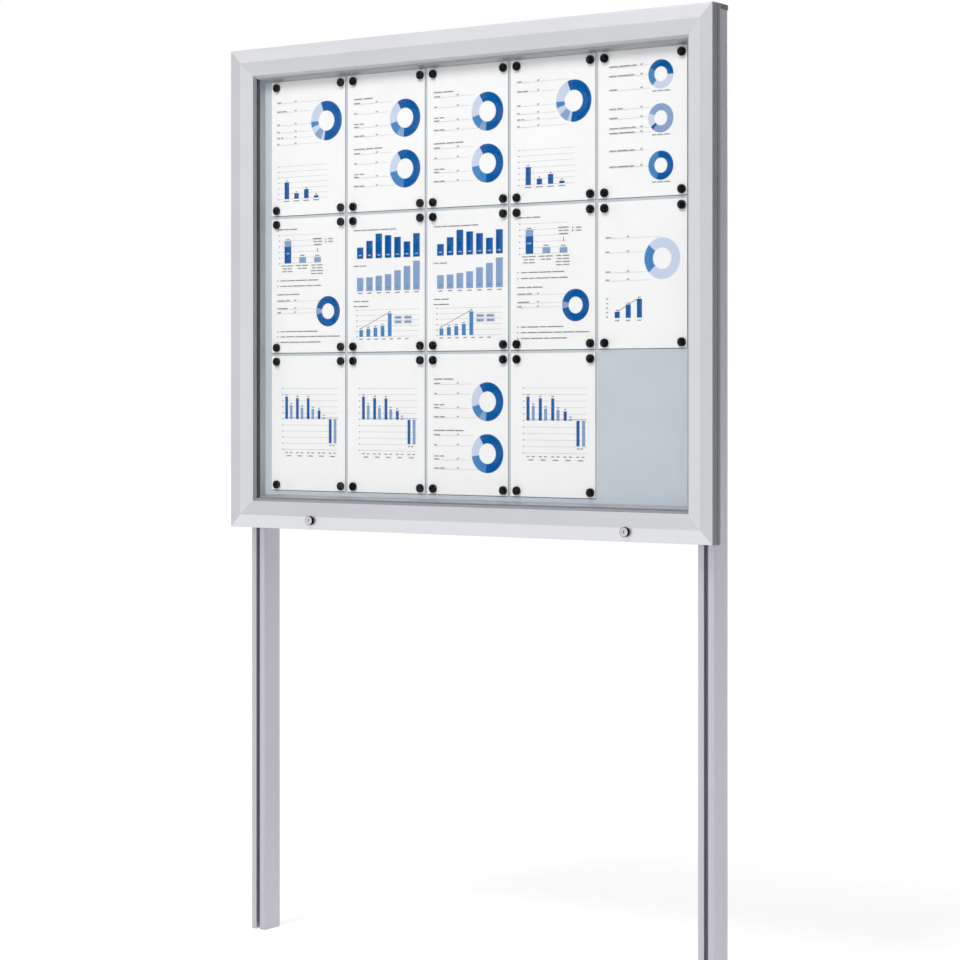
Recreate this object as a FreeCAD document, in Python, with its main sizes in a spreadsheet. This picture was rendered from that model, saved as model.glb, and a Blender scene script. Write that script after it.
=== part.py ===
import FreeCAD, Part
import Sketcher
import math
import os

# Lockable notice board on two posts: a shallow aluminium case with a top-hung glazed door,
# two cam locks, two sliding stays, a magnetic panel with fourteen A4 sheets, and two slotted
# posts. Millimetres, X to the right, Y to the rear, Z up. The origin is at the ground,
# midway between the posts and in their middle plane.

# Every driving dimension in mm, with what it measures
sizeNotes = {
    "post_wide": (40, "post across the board"),
    "post_deep": (60, "post from front to rear"),
    "post_drop": (5, "post's upper end below the top of the case"),
    "post_in": (41, "post centre from the door's side edge"),
    "post_front_round": (4, "front corner radius of a post"),
    "post_rear_round": (14, "rear corner radius of a post"),
    "post_wall": (3, "wall of the post extrusion"),
    "slot_mouth": (10, "opening of the post's slot"),
    "slot_wide": (20, "inside of the post's slot"),
    "slot_deep": (8, "depth of the slot behind its lips"),
    "cap_thick": (10, "post cap above the post"),
    "cap_over": (1, "post cap beyond the post"),
    "cap_bevel": (1.5, "bevelled top edge of the cap"),
    "cap_plug": (18, "cap's plug inside the post"),
    "centre_height": (1425, "middle of the board above the ground"),
    "sheets_side": (83, "block of sheets to the door's side edge, seen from the front"),
    "sheets_end": (77.5, "block of sheets to the door's upper or lower edge"),
    "case_over": (2, "case beyond the door on each side"),
    "board_deep": (38, "door's crease line to the back of the case"),
    "spacer_thick": (8, "spacer plate between case and post"),
    "edge_drop": (0.9, "door's outer edge behind its crease line"),
    "band": (28, "door's outer band, edge to crease"),
    "bevel_in": (58.5, "inner end of the door's bevel"),
    "bevel_drop": (8, "depth of the bevel's inner end"),
    "lip_in": (64, "inner end of the gasket's front bead on the pane"),
    "lip_drop": (14, "depth of that end"),
    "bead_drop": (0.3, "front bead's edge behind the end of the bevel"),
    "groove_in": (54, "bottom of the glazing groove"),
    "groove_front": (14.2, "front wall of the glazing groove"),
    "leg_in": (63, "end of the glazing groove's rear leg"),
    "leg_thick": (1.6, "rear leg of the glazing groove"),
    "rail_wall": (1.8, "wall of the door's extrusion"),
    "glass_thick": (3, "pane"),
    "gasket_thick": (0.7, "rubber on each face of the pane"),
    "gasket_in": (66.5, "inner edge of the gasket's rear bead"),
    "gasket_room": (0.2, "gasket to the bottom of the groove"),
    "glass_room": (1, "pane's edge to the bottom of the groove"),
    "case_gap": (2.3, "gap between the door and the case's front edge"),
    "case_wall": (2, "wall of the case's extrusion"),
    "case_round": (10, "rear corner radius of the case"),
    "flange_in": (72, "inner edge of the case's back flange"),
    "stop_in": (57, "rib that the back panel stops against"),
    "stop_tall": (5, "height of that rib"),
    "stop_thick": (1.5, "thickness of that rib"),
    "panel_room": (0.5, "panel's edge to that rib"),
    "trim_in": (60, "outer leg of the inner trim"),
    "trim_ledge": (67.5, "end of the trim's flat front"),
    "trim_foot": (73, "foot of the trim's slope on the panel"),
    "trim_wall": (1.5, "wall of the inner trim"),
    "panel_thick": (1, "magnetic steel panel"),
    "backing_thick": (1.5, "backing board behind the panel"),
    "seal_wide": (4, "rubber seal between door and case"),
    "seal_touch": (0.3, "seal to door, door closed"),
    "axis_in": (3, "hinge axis below the door's top edge"),
    "axis_back": (27, "hinge axis behind the crease line"),
    "barrel_round": (3.25, "radius of the hinge knuckles"),
    "barrel_room": (0.75, "hinge knuckles to the case's top rail"),
    "pin_round": (1.5, "radius of the hinge rod"),
    "running_gap": (0.05, "radial clearance of pins and plugs"),
    "leaf_thick": (1.5, "hinge leaf"),
    "leaf_tall": (30, "lower end of the hinge leaf below the door's top"),
    "leaf_room": (1.5, "case leaf to the case's rounded corner"),
    "web_thick": (3, "web between leaf and knuckle"),
    "hinge_end": (30.2, "end of the hinge from the door's side edge"),
    "knuckle_gap": (0.4, "end gap between knuckles"),
    "stay_reach": (260, "stay arm, centre to centre"),
    "stay_bar": (3, "stay arm thickness"),
    "stay_broad": (10, "stay arm width"),
    "stay_in": (19.2, "outer face of the stay arm from the door's side"),
    "stay_pin": (2.5, "radius of the stay's pivots"),
    "stay_head": (4, "radius of the pivots' heads"),
    "rivet_head": (0.8, "thickness of those heads"),
    "stay_play": (0.1, "end play of the stay arm on its pivots"),
    "track_in": (8, "outer face of the track from the door's side"),
    "track_wide": (10, "track across"),
    "track_wall": (1.5, "track wall"),
    "track_spare": (18, "track beyond the slider's travel"),
    "track_slot": (6, "slot of the track"),
    "slider_long": (22, "sliding shoe"),
    "slider_gap": (0.4, "shoe to track, each side"),
    "stay_least": (0.342, "cosine of the widest door angle"),
    "bracket_tall": (34, "stay bracket height"),
    "bracket_thick": (3, "stay bracket lug"),
    "bracket_gap": (2.8, "stay arm to the bracket's lug"),
    "bracket_foot": (25.5, "stay bracket foot plate across the case"),
    "bracket_base": (1.5, "thickness of that foot plate"),
    "lock_side": (214, "lock centre from the door's side edge"),
    "lock_in": (20, "lock centre above the door's bottom edge"),
    "lock_shift": (15, "middle of the two locks to the right of the board's middle"),
    "lock_head": (10, "radius of the lock's head"),
    "lock_proud": (7, "lock's head in front of the door"),
    "lock_bevel": (1, "bevel round the lock's head"),
    "lock_body": (8, "radius of the lock's threaded body"),
    "lock_back": (24.2, "rear end of the lock's body"),
    "lock_bore": (5.5, "radius of the turning plug"),
    "plug_spare": (0.3, "turning plug behind the lock's body"),
    "keyway_long": (6, "key slot"),
    "keyway_wide": (1.6, "key slot width"),
    "keyway_deep": (9, "key slot depth"),
    "nut_flats": (22, "lock nut across its flats"),
    "nut_thick": (3, "lock nut"),
    "cam_front": (24.8, "front face of the cam"),
    "cam_thick": (2, "cam"),
    "cam_wide": (12, "cam width"),
    "cam_boss": (7, "radius of the cam round the plug's tail"),
    "cam_reach": (17, "lock centre to the cam's tip"),
    "cam_square": (7, "square of the plug's tail"),
    "screw_round": (2, "radius of the cam screw"),
    "screw_long": (12, "cam screw under its head"),
    "screw_head": (4, "radius of the cam screw's head"),
    "screw_head_tall": (2.4, "height of the cam screw's head"),
    "keeper_front": (22.9, "front face of the keeper's lip"),
    "keeper_thick": (1.5, "keeper plate"),
    "keeper_tall": (7, "keeper's lip"),
    "keeper_wide": (46, "keeper along the rail"),
    "keeper_deep": (5, "keeper's foot from front to rear"),
    "cleat_arm": (90, "corner cleat's arm from the outer corner"),
    "cleat_gap": (0.3, "corner cleat to the extrusion's walls"),
    "cleat_deep": (7.6, "corner cleat from front to rear"),
    "corner_arm": (96, "case corner plate's arm"),
    "corner_wide": (18, "case corner plate's width"),
    "corner_thick": (1.5, "case corner plate"),
    "corner_room": (1, "case corner plate to the rounded wall and the hinge leaf"),
    "bolt_end": (128, "mounting bolt to the door's upper or lower edge"),
    "bolt_round": (4, "radius of a mounting bolt"),
    "bolt_flats": (13, "bolt head across its flats"),
    "bolt_head": (5.3, "bolt head height"),
    "bolt_room": (0.25, "bolt hole beyond the bolt"),
    "washer_round": (9, "washer radius"),
    "washer_thick": (1.6, "washer"),
    "spacer_tall": (60, "spacer plate height"),
    "slot_nut": (19.4, "slot nut's side"),
    "slot_nut_thick": (7, "slot nut"),
    "sheet_wide": (210, "notice sheet width"),
    "sheet_tall": (297, "notice sheet height"),
    "sheet_gap": (5, "gap between notice sheets"),
    "sheet_thick": (0.3, "notice sheet"),
    "sheet_rise": (4.2, "middle of the sheets above the board's middle"),
    "sheet_shift": (8, "middle of the sheets to the right of the board's middle"),
    "magnet_round": (8.8, "magnet radius"),
    "magnet_thick": (8, "magnet"),
    "magnet_in": (13, "magnet centre from the sheet's edges"),
}

# Counts
sheetColumns = 5
sheetRows = 3
knucklePairs = 6

# What follows from those: the door is made to hold its sheets, and the rest goes by the door
sizeFormulas = {
    "sheet_step_across": "sheet_wide + sheet_gap",
    "sheet_step_down": "sheet_tall + sheet_gap",
    "door_wide": f"sheet_step_across * {sheetColumns} - sheet_gap + sheets_side * 2",
    "door_tall": f"sheet_step_down * {sheetRows} - sheet_gap + sheets_end * 2",
    "post_pitch": "door_wide - post_in * 2",
    "post_length": "centre_height + door_tall / 2 + case_over - post_drop",
    "lock_pitch": "door_wide - lock_side * 2",
    "bolt_rise": "door_tall / 2 - bolt_end",
    "hinge_long": "door_wide - hinge_end * 2",
    "knuckle_step": f"(hinge_long + knuckle_gap) / {knucklePairs * 2}",
}

doc = FreeCAD.newDocument("notice_board")
sheet = doc.addObject("Spreadsheet::Sheet", "Sizes")
cells = [(alias, str(value), note) for alias, (value, note) in sizeNotes.items()]
cells += [(alias, f"={formula}", "follows") for alias, formula in sizeFormulas.items()]
for row, (alias, content, note) in enumerate(cells, start=1):
    sheet.set(f"A{row}", alias)
    sheet.set(f"B{row}", content)
    sheet.set(f"C{row}", note)
    sheet.setAlias(f"B{row}", alias)
doc.recompute()

vector = FreeCAD.Vector
pieces = []


class Length:
    """A length in mm that also knows the sheet expression that gives it."""

    def __init__(self, value, text):
        self.value = value
        self.text = text

    def __add__(self, other):
        other = length(other)
        return Length(self.value + other.value, f"({self.text} + {other.text})")

    def __sub__(self, other):
        other = length(other)
        return Length(self.value - other.value, f"({self.text} - {other.text})")

    def __mul__(self, factor):
        factor = length(factor)
        return Length(self.value * factor.value, f"({self.text} * {factor.text})")

    def __truediv__(self, divisor):
        divisor = length(divisor)
        return Length(self.value / divisor.value, f"({self.text} / {divisor.text})")

    def __neg__(self):
        return Length(-self.value, f"(-{self.text})")

    __radd__ = __add__
    __rmul__ = __mul__


def length(value):
    """The Length of a plain number, or the Length itself."""
    return value if isinstance(value, Length) else Length(value, str(value))


class SizeTable:
    """The sheet's sizes as Lengths, by their alias."""

    def __getattr__(self, alias):
        return Length(float(sheet.get(alias)), f"Sizes.{alias}")


size = SizeTable()
zero = length(0)

# How far a cutting shape reaches past what it cuts
past = 5


# How the pieces are made

def place(piece, x, y, z, axis=(0, 0, 1), angle=0):
    """Put a piece at x, y, z, turned by angle about axis, with its place bound to the sheet."""
    spot = [length(x), length(y), length(z)]
    piece.Placement = FreeCAD.Placement(vector(*[one.value for one in spot]),
                                        FreeCAD.Rotation(vector(*axis), angle))
    for letter, one in zip("xyz", spot):
        piece.setExpression(f".Placement.Base.{letter}", one.text)
    return piece


def keep(piece, label):
    """Name a finished piece and list it for export."""
    piece.Label = label
    pieces.append(piece)
    return piece


def newBody(label, alone=True):
    body = doc.addObject("PartDesign::Body", label)
    body.Label = label
    return keep(body, label) if alone else body


def sketchOn(body, plane, loops):
    """A sketch on one of the body's origin planes. A loop is a list of corner points, or a
    circle given as (x, y, radius)."""
    sketch = body.newObject("Sketcher::SketchObject", body.Label + "_sketch")
    origin = [one for one in body.Origin.OriginFeatures if one.Role == plane][0]
    sketch.AttachmentSupport = [(origin, "")]
    sketch.MapMode = "FlatFace"

    def bind(kind, *target):
        *where, amount = target
        index = sketch.addConstraint(Sketcher.Constraint(kind, *where, float(amount.value)))
        sketch.setExpression(f"Constraints[{index}]", amount.text)

    for loop in loops:
        if isinstance(loop, tuple):
            x, y, radius = [length(one) for one in loop]
            circle = Part.Circle(vector(x.value, y.value, 0), vector(0, 0, 1), radius.value)
            edge = sketch.addGeometry(circle, False)
            bind("DistanceX", edge, 3, x)
            bind("DistanceY", edge, 3, y)
            bind("Radius", edge, radius)
            continue
        corners = [(length(x), length(y)) for x, y in loop]
        spots = [vector(x.value, y.value, 0) for x, y in corners]
        first = sketch.GeometryCount
        count = len(corners)
        for step in range(count):
            line = Part.LineSegment(spots[step], spots[(step + 1) % count])
            sketch.addGeometry(line, False)
        for step in range(count):
            following = first + (step + 1) % count
            sketch.addConstraint(Sketcher.Constraint("Coincident", first + step, 2, following, 1))
        for step, (x, y) in enumerate(corners):
            bind("DistanceX", first + step, 1, x)
            bind("DistanceY", first + step, 1, y)
    return sketch


def pad(body, plane, loops, amount, symmetric=False, backwards=False):
    feature = body.newObject("PartDesign::Pad", body.Label + "_pad")
    feature.Profile = sketchOn(body, plane, loops)
    amount = length(amount)
    feature.Length = amount.value
    feature.setExpression("Length", amount.text)
    feature.SideType = "Symmetric" if symmetric else "One side"
    feature.Reversed = backwards
    return feature


def pocket(body, plane, loops, amount=None, backwards=False):
    """Cut through everything both ways, or one way to a depth."""
    feature = body.newObject("PartDesign::Pocket", body.Label + "_pocket")
    feature.Profile = sketchOn(body, plane, loops)
    if amount is None:
        feature.Type = "ThroughAll"
        feature.SideType = "Symmetric"
    else:
        amount = length(amount)
        feature.Length = amount.value
        feature.setExpression("Length", amount.text)
        feature.Reversed = backwards
    return feature


def turned(body, plane, outline):
    """Turn an outline about the sketch's horizontal axis."""
    feature = body.newObject("PartDesign::Revolution", body.Label + "_turn")
    feature.Profile = sketchOn(body, plane, [outline])
    feature.ReferenceAxis = (feature.Profile[0], ["H_Axis"])
    feature.Angle = 360
    return feature


def roundEdges(body, direction, spots, radius):
    """Round the long edges that run along direction through the given spots."""
    doc.recompute()
    base = body.Tip
    radius = length(radius)
    names = []
    for index, edge in enumerate(base.Shape.Edges, start=1):
        run = edge.Vertexes[-1].Point - edge.Vertexes[0].Point
        if run.Length < 1e-6 or run.cross(vector(*direction)).Length > 1e-6 * run.Length:
            continue
        for spot in spots:
            target = vector(*[length(one).value for one in spot])
            away = (edge.Vertexes[0].Point - target).cross(vector(*direction)).Length
            if away < 1e-4:
                names.append(f"Edge{index}")
    feature = body.newObject("PartDesign::Fillet", body.Label + "_round")
    feature.Base = (base, names)
    feature.Radius = radius.value
    feature.setExpression("Radius", radius.text)
    return feature


def box(name, x, y, z, wide, deep, tall):
    """A box from its lowest corner."""
    solid = doc.addObject("Part::Box", name)
    for edge, amount in (("Length", wide), ("Width", deep), ("Height", tall)):
        amount = length(amount)
        setattr(solid, edge, amount.value)
        solid.setExpression(edge, amount.text)
    return place(solid, x, y, z)


# A cylinder or prism starts along Z, and is laid along X or Y by one turn
laidAlong = {"X": ((0, 1, 0), 90), "Y": ((1, 0, 0), -90), "Z": ((0, 0, 1), 0)}


def cylinder(name, along, x, y, z, radius, tall):
    solid = doc.addObject("Part::Cylinder", name)
    for edge, amount in (("Radius", length(radius)), ("Height", length(tall))):
        setattr(solid, edge, amount.value)
        solid.setExpression(edge, amount.text)
    return place(solid, x, y, z, *laidAlong[along])


def prism(name, count, x, y, z, corner, tall):
    """A prism along Y with count flat sides, from the distance of its corners."""
    solid = doc.addObject("Part::Prism", name)
    solid.Polygon = count
    for edge, amount in (("Circumradius", length(corner)), ("Height", length(tall))):
        setattr(solid, edge, amount.value)
        solid.setExpression(edge, amount.text)
    return place(solid, x, y, z, *laidAlong["Y"])


def hexagon(name, x, y, z, flats, tall):
    """A hexagonal prism along Y, from its width across flats."""
    return prism(name, 6, x, y, z, flats / 2 / math.cos(math.pi / 6), tall)


def cut(name, base, *tools):
    for tool in tools:
        result = doc.addObject("Part::Cut", name)
        result.Base = base
        result.Tool = tool
        base = result
    return base


def fuse(name, *parts):
    result = doc.addObject("Part::MultiFuse", name)
    result.Shapes = list(parts)
    return result


def group(label, parts):
    """Several like solids as one piece."""
    result = doc.addObject("Part::Compound", label)
    result.Links = parts
    return keep(result, label)


# Places that several pieces share
front = -(size.post_deep / 2 + size.spacer_thick + size.board_deep)
middle = size.centre_height
sides = (("left", -1), ("right", 1))


def depth(amount):
    """Y of a depth behind the door's crease line."""
    return front + amount


def fromSide(side, inward):
    """X of a distance inward from the door's left or right edge."""
    return (size.door_wide / 2 - inward) * side


def fromTop(inward):
    return middle + size.door_tall / 2 - inward


def fromBottom(inward):
    return middle - size.door_tall / 2 + inward


def acrossSide(side, near, far):
    """Lowest X and width of a strip between two distances from the door's side edge."""
    return (fromSide(side, far) if side > 0 else fromSide(side, near)), length(far) - near


# Each frame is four extrusions with mitred ends. A rail is drawn along X with its outer edge on
# Z = 0 and its depth along Y, and is then turned about Y to its side of the frame.
railTurns = {"top": 0, "right": 90, "bottom": 180, "left": 270}


def frameRail(label, side, inset, reach, outline, rounds=(), hollow=None, holes=(), notch=None,
              alone=True):
    wide = size.door_wide - inset * 2
    tall = size.door_tall - inset * 2
    span = wide if side in ("top", "bottom") else tall
    body = newBody(label, alone)
    loops = [[(back, -inward) for back, inward in outline]]
    if hollow:
        loops.append([(back, -inward) for back, inward in hollow])
    pad(body, "YZ_Plane", loops, span, symmetric=True)
    for (back, inward), radius in rounds:
        roundEdges(body, (1, 0, 0), [(0, back, -inward)], radius)
    if notch:
        pocket(body, "YZ_Plane", [[(back, -inward) for back, inward in notch]])
    mitres = []
    for end in (-1, 1):
        mitres.append([((span / 2 + past) * end, past),
                       ((span / 2 + past) * end, -reach - past),
                       ((span / 2 - reach - past) * end, -reach - past)])
    pocket(body, "XZ_Plane", mitres)
    if holes:
        pocket(body, "XZ_Plane", [(along, -inward, radius) for along, inward, radius in holes])
    x = {"left": -wide / 2, "right": wide / 2}.get(side, zero)
    z = {"bottom": middle - tall / 2, "top": middle + tall / 2}.get(side, middle)
    return place(body, x, front, z, (0, 1, 0), railTurns[side])


# Posts: a slotted extrusion with flat sides, small front corners and large rear corners
def post(name, side):
    body = newBody(f"post_{name}")
    x = size.post_wide / 2
    y = size.post_deep / 2
    wall = size.post_wall
    mouth = size.slot_mouth / 2
    inside = size.slot_wide / 2
    slotBack = -y + wall + size.slot_deep
    skin = [(-x, -y), (-mouth, -y), (-mouth, -y + wall), (-inside, -y + wall),
            (-inside, slotBack), (inside, slotBack), (inside, -y + wall), (mouth, -y + wall),
            (mouth, -y), (x, -y), (x, y), (-x, y)]
    shoulder = inside + wall
    chamber = [(-x + wall, -y + wall), (-shoulder, -y + wall), (-shoulder, slotBack + wall),
               (shoulder, slotBack + wall), (shoulder, -y + wall), (x - wall, -y + wall),
               (x - wall, y - wall), (-x + wall, y - wall)]
    pad(body, "XY_Plane", [skin, chamber], size.post_length)
    roundEdges(body, (0, 0, 1), [(x, -y, 0), (-x, -y, 0)], size.post_front_round)
    roundEdges(body, (0, 0, 1), [(x, y, 0), (-x, y, 0)], size.post_rear_round)
    roundEdges(body, (0, 0, 1), [(x - wall, y - wall, 0), (-x + wall, y - wall, 0)],
               size.post_rear_round - wall)
    place(body, size.post_pitch / 2 * side, 0, 0)

    cap = newBody(f"post_cap_{name}")
    over = size.cap_over
    pad(cap, "XY_Plane", [[(-x - over, -y - over), (x + over, -y - over),
                           (x + over, y + over), (-x - over, y + over)]], size.cap_thick)
    roundEdges(cap, (0, 0, 1), [(x + over, -y - over, 0), (-x - over, -y - over, 0)],
               size.post_front_round + over)
    roundEdges(cap, (0, 0, 1), [(x + over, y + over, 0), (-x - over, y + over, 0)],
               size.post_rear_round + over)
    doc.recompute()
    rim = cap.Tip
    edges = [f"Edge{index}" for index, edge in enumerate(rim.Shape.Edges, start=1)
             if all(abs(one.Z - size.cap_thick.value) < 1e-6 for one in edge.Vertexes)]
    crown = cap.newObject("PartDesign::Chamfer", f"post_cap_{name}_crown")
    crown.Base = (rim, edges)
    crown.Size = size.cap_bevel.value
    crown.setExpression("Size", size.cap_bevel.text)
    plugGap = size.cleat_gap
    plugWide = x - wall - plugGap
    pad(cap, "XY_Plane", [[(-plugWide, slotBack + wall + plugGap),
                           (plugWide, slotBack + wall + plugGap),
                           (plugWide, y - size.post_rear_round),
                           (-plugWide, y - size.post_rear_round)]],
        size.cap_plug, backwards=True)
    place(cap, size.post_pitch / 2 * side, 0, size.post_length)


for name, side in sides:
    post(name, side)

# Door: four hollow rails with a flat outer band, a bevel and a glazing groove
glassFront = size.groove_front + size.gasket_thick
glassBack = glassFront + size.glass_thick
grooveBack = glassBack + size.gasket_thick
doorBack = grooveBack + size.leg_thick
wall = size.rail_wall
doorOutline = [(size.edge_drop, zero), (zero, size.band), (size.bevel_drop, size.bevel_in),
               (size.groove_front, size.bevel_in), (size.groove_front, size.groove_in),
               (grooveBack, size.groove_in), (grooveBack, size.leg_in), (doorBack, size.leg_in),
               (doorBack, zero)]
hollowFront = size.groove_in - wall
doorHollow = [(size.edge_drop + wall, wall), (wall, size.band),
              (size.bevel_drop + wall, size.bevel_in - wall),
              (size.groove_front - wall, size.bevel_in - wall),
              (size.groove_front - wall, hollowFront), (doorBack - wall, hollowFront),
              (doorBack - wall, wall)]
lockHole = size.lock_body + size.running_gap
lockSpots = [(size.lock_pitch / 2 * end - size.lock_shift, size.lock_in, lockHole)
             for end in (-1, 1)]
for side in railTurns:
    frameRail(f"door_rail_{side}", side, zero, size.leg_in, doorOutline,
              rounds=[((size.edge_drop, zero), size.edge_drop)], hollow=doorHollow,
              holes=lockSpots if side == "bottom" else ())

# Corner cleats inside the door rails, an L of cast metal in each corner
cleatNear = wall + size.cleat_gap
cleatFar = hollowFront - size.cleat_gap
cleatFront = doorBack - wall - size.cleat_gap - size.cleat_deep
cleats = []
for name, side in sides:
    for end, base in (("top", fromTop), ("bottom", fromBottom)):
        xArm, armWide = acrossSide(side, cleatNear, size.cleat_arm)
        xLeg, legWide = acrossSide(side, cleatNear, cleatFar)
        low, lowArm = (cleatFar, size.cleat_arm) if end == "top" else (cleatNear, cleatNear)
        arm = box(f"cleat_arm_{end}_{name}", xArm, depth(cleatFront), base(low),
                  armWide, size.cleat_deep, cleatFar - cleatNear)
        leg = box(f"cleat_leg_{end}_{name}", xLeg, depth(cleatFront), base(lowArm),
                  legWide, size.cleat_deep, size.cleat_arm - cleatNear)
        cleats.append(fuse(f"cleat_{end}_{name}", arm, leg))
group("door_corner_cleats", cleats)


def centredBox(name, inset, back, thick):
    """A flat box in the middle of the board, inset from the door's outline."""
    return box(name, -(size.door_wide / 2 - inset), depth(back), fromBottom(inset),
               size.door_wide - inset * 2, thick, size.door_tall - inset * 2)


# Pane, and the gasket round its edge in four mitred lengths: a U in the groove, with a sloped
# bead between the bevel and the pane and a bead behind the pane
gasketOut = size.groove_in + size.gasket_room
glassEdge = size.groove_in + size.glass_room
keep(centredBox("glazing", glassEdge, glassFront, size.glass_thick), "glazing")
gasketOutline = [(size.groove_front, gasketOut), (size.groove_front, size.bevel_in),
                 (size.bevel_drop + size.bead_drop, size.bevel_in), (size.lip_drop, size.lip_in),
                 (glassFront, size.lip_in), (glassFront, glassEdge), (glassBack, glassEdge),
                 (glassBack, size.gasket_in), (doorBack, size.gasket_in),
                 (doorBack, size.leg_in), (grooveBack, size.leg_in), (grooveBack, gasketOut)]
group("glazing_gasket", [frameRail(f"gasket_{side}", side, zero, size.gasket_in, gasketOutline,
                                   alone=False) for side in railTurns])

# Case: four rails with an outer wall, a rounded rear corner, a back flange and a panel stop
caseFront = doorBack + size.case_gap
over = size.case_over
flangeFront = size.board_deep - size.case_wall
stopBack = flangeFront - size.stop_tall
caseOutline = [(caseFront, zero), (size.board_deep, zero), (size.board_deep, size.flange_in + over),
               (flangeFront, size.flange_in + over),
               (flangeFront, size.stop_in + over + size.stop_thick),
               (stopBack, size.stop_in + over + size.stop_thick),
               (stopBack, size.stop_in + over), (flangeFront, size.stop_in + over),
               (flangeFront, size.case_wall), (caseFront, size.case_wall)]
hingeRoom = size.axis_back + size.barrel_round + size.barrel_room
hingeNotch = [(caseFront - past, -past), (hingeRoom, -past), (hingeRoom, size.case_wall + past),
              (caseFront - past, size.case_wall + past)]
boltHole = size.bolt_round + size.bolt_room
boltSpots = [(size.bolt_rise * end, size.post_in + over, boltHole) for end in (-1, 1)]
for side in railTurns:
    frameRail(f"case_rail_{side}", side, -over, size.flange_in + over, caseOutline,
              rounds=[((size.board_deep, zero), size.case_round),
                      ((flangeFront, size.case_wall), size.case_round - size.case_wall)],
              holes=boltSpots if side in ("left", "right") else (),
              notch=hingeNotch if side == "top" else None)

# Flat corner plates that tie the case rails together, on the inside of the back flange
cornerNear = size.case_round - over + size.corner_room
cornerPlates = []
for name, side in sides:
    for end, base in (("top", fromTop), ("bottom", fromBottom)):
        cornerIn = size.leaf_tall + size.corner_room if end == "top" else cornerNear
        cornerOut = cornerIn + size.corner_wide
        cornerEnd = cornerIn + size.corner_arm
        xArm, armWide = acrossSide(side, cornerNear, size.corner_arm)
        xLeg, legWide = acrossSide(side, cornerNear, cornerNear + size.corner_wide)
        low, lowLeg = (cornerOut, cornerEnd) if end == "top" else (cornerIn, cornerIn)
        back = depth(flangeFront - size.corner_thick)
        arm = box(f"corner_arm_{end}_{name}", xArm, back, base(low),
                  armWide, size.corner_thick, size.corner_wide)
        leg = box(f"corner_leg_{end}_{name}", xLeg, back, base(lowLeg),
                  legWide, size.corner_thick, size.corner_arm)
        cornerPlates.append(fuse(f"corner_plate_{end}_{name}", arm, leg))
group("case_corner_plates", cornerPlates)

# Magnetic panel and its backing board, behind the trim and against the back flange
panelIn = size.stop_in + size.stop_thick + size.panel_room
backingFront = flangeFront - size.backing_thick
panelFront = backingFront - size.panel_thick
keep(centredBox("magnetic_panel", panelIn, panelFront, size.panel_thick), "magnetic_panel")
keep(centredBox("backing_board", panelIn, backingFront, size.backing_thick), "backing_board")

# Inner trim: a thin channel with a sloped inner face, standing on the panel
trimWall = size.trim_wall
trimReach = size.trim_foot - size.trim_in
trimLedge = size.trim_ledge - size.trim_in
trimOutline = [(caseFront, zero), (caseFront, trimLedge), (panelFront, trimReach),
               (panelFront, trimReach - trimWall),
               (caseFront + trimWall, trimLedge - trimWall / 2),
               (caseFront + trimWall, trimWall), (panelFront, trimWall), (panelFront, zero)]
for side in railTurns:
    frameRail(f"inner_trim_{side}", side, size.trim_in, trimReach, trimOutline)

# Rubber seal on the trim's ledge, just behind the door
sealIn = size.trim_in + trimWall
sealOut = centredBox("seal_out", sealIn, doorBack + size.seal_touch,
                     size.case_gap - size.seal_touch)
sealHole = centredBox("seal_hole", sealIn + size.seal_wide, doorBack, size.case_gap + past)
keep(cut("seal_cut", sealOut, sealHole), "door_seal")

# Hinge: two leaves with alternating knuckles on one rod
axisY = depth(size.axis_back)
axisZ = fromTop(size.axis_in)
leafDown = size.leaf_tall - size.axis_in


def hingeLeaf(label, plate, web, first):
    """A leaf drawn round the hinge axis, its first knuckle at place first along the hinge."""
    body = newBody(label)
    pad(body, "YZ_Plane", [plate], size.hinge_long)
    knuckle = []
    for loop in (web, (zero, zero, size.barrel_round)):
        feature = pad(body, "YZ_Plane", [loop], size.knuckle_step - size.knuckle_gap)
        sketch = feature.Profile[0]
        sketch.setExpression(".AttachmentOffset.Base.z", (size.knuckle_step * first).text)
        knuckle.append(feature)
    rowOfKnuckles = body.newObject("PartDesign::LinearPattern", label + "_knuckles")
    rowOfKnuckles.Originals = knuckle
    rowOfKnuckles.Direction = ([one for one in body.Origin.OriginFeatures
                                if one.Role == "X_Axis"][0], [""])
    rowOfKnuckles.Mode = "Spacing"
    spacing = size.knuckle_step * 2
    rowOfKnuckles.Offset = spacing.value
    rowOfKnuckles.setExpression("Offset", spacing.text)
    rowOfKnuckles.Occurrences = knucklePairs
    body.Tip = rowOfKnuckles
    pocket(body, "YZ_Plane", [(zero, zero, size.pin_round + size.running_gap)])
    return place(body, -size.hinge_long / 2, axisY, axisZ)


leafFront = doorBack - size.axis_back
half = size.web_thick / 2
leaf = size.leaf_thick
doorPlate = [(leafFront, half), (leafFront + leaf, half),
             (leafFront + leaf, -leafDown), (leafFront, -leafDown)]
doorWeb = [(leafFront + leaf / 2, half), (-size.barrel_round / 2, half),
           (-size.barrel_round / 2, -half), (leafFront + leaf / 2, -half)]
hingeLeaf("hinge_leaf_door", doorPlate, doorWeb, 0)
leafBack = flangeFront - size.axis_back
elbow = size.case_round + size.leaf_room - over - size.axis_in
casePlate = [(leafBack - leaf, -elbow), (leafBack, -elbow), (leafBack, -leafDown),
             (leafBack - leaf, -leafDown)]
caseWeb = [(half, zero), (leafBack - leaf / 2, -elbow),
           (leafBack - leaf / 2, -elbow - size.web_thick), (zero, -half)]
hingeLeaf("hinge_leaf_case", casePlate, caseWeb, 1)
keep(cylinder("hinge_rod", "X", -size.hinge_long / 2, axisY, axisZ, size.pin_round, size.hinge_long), "hinge_rod")

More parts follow.
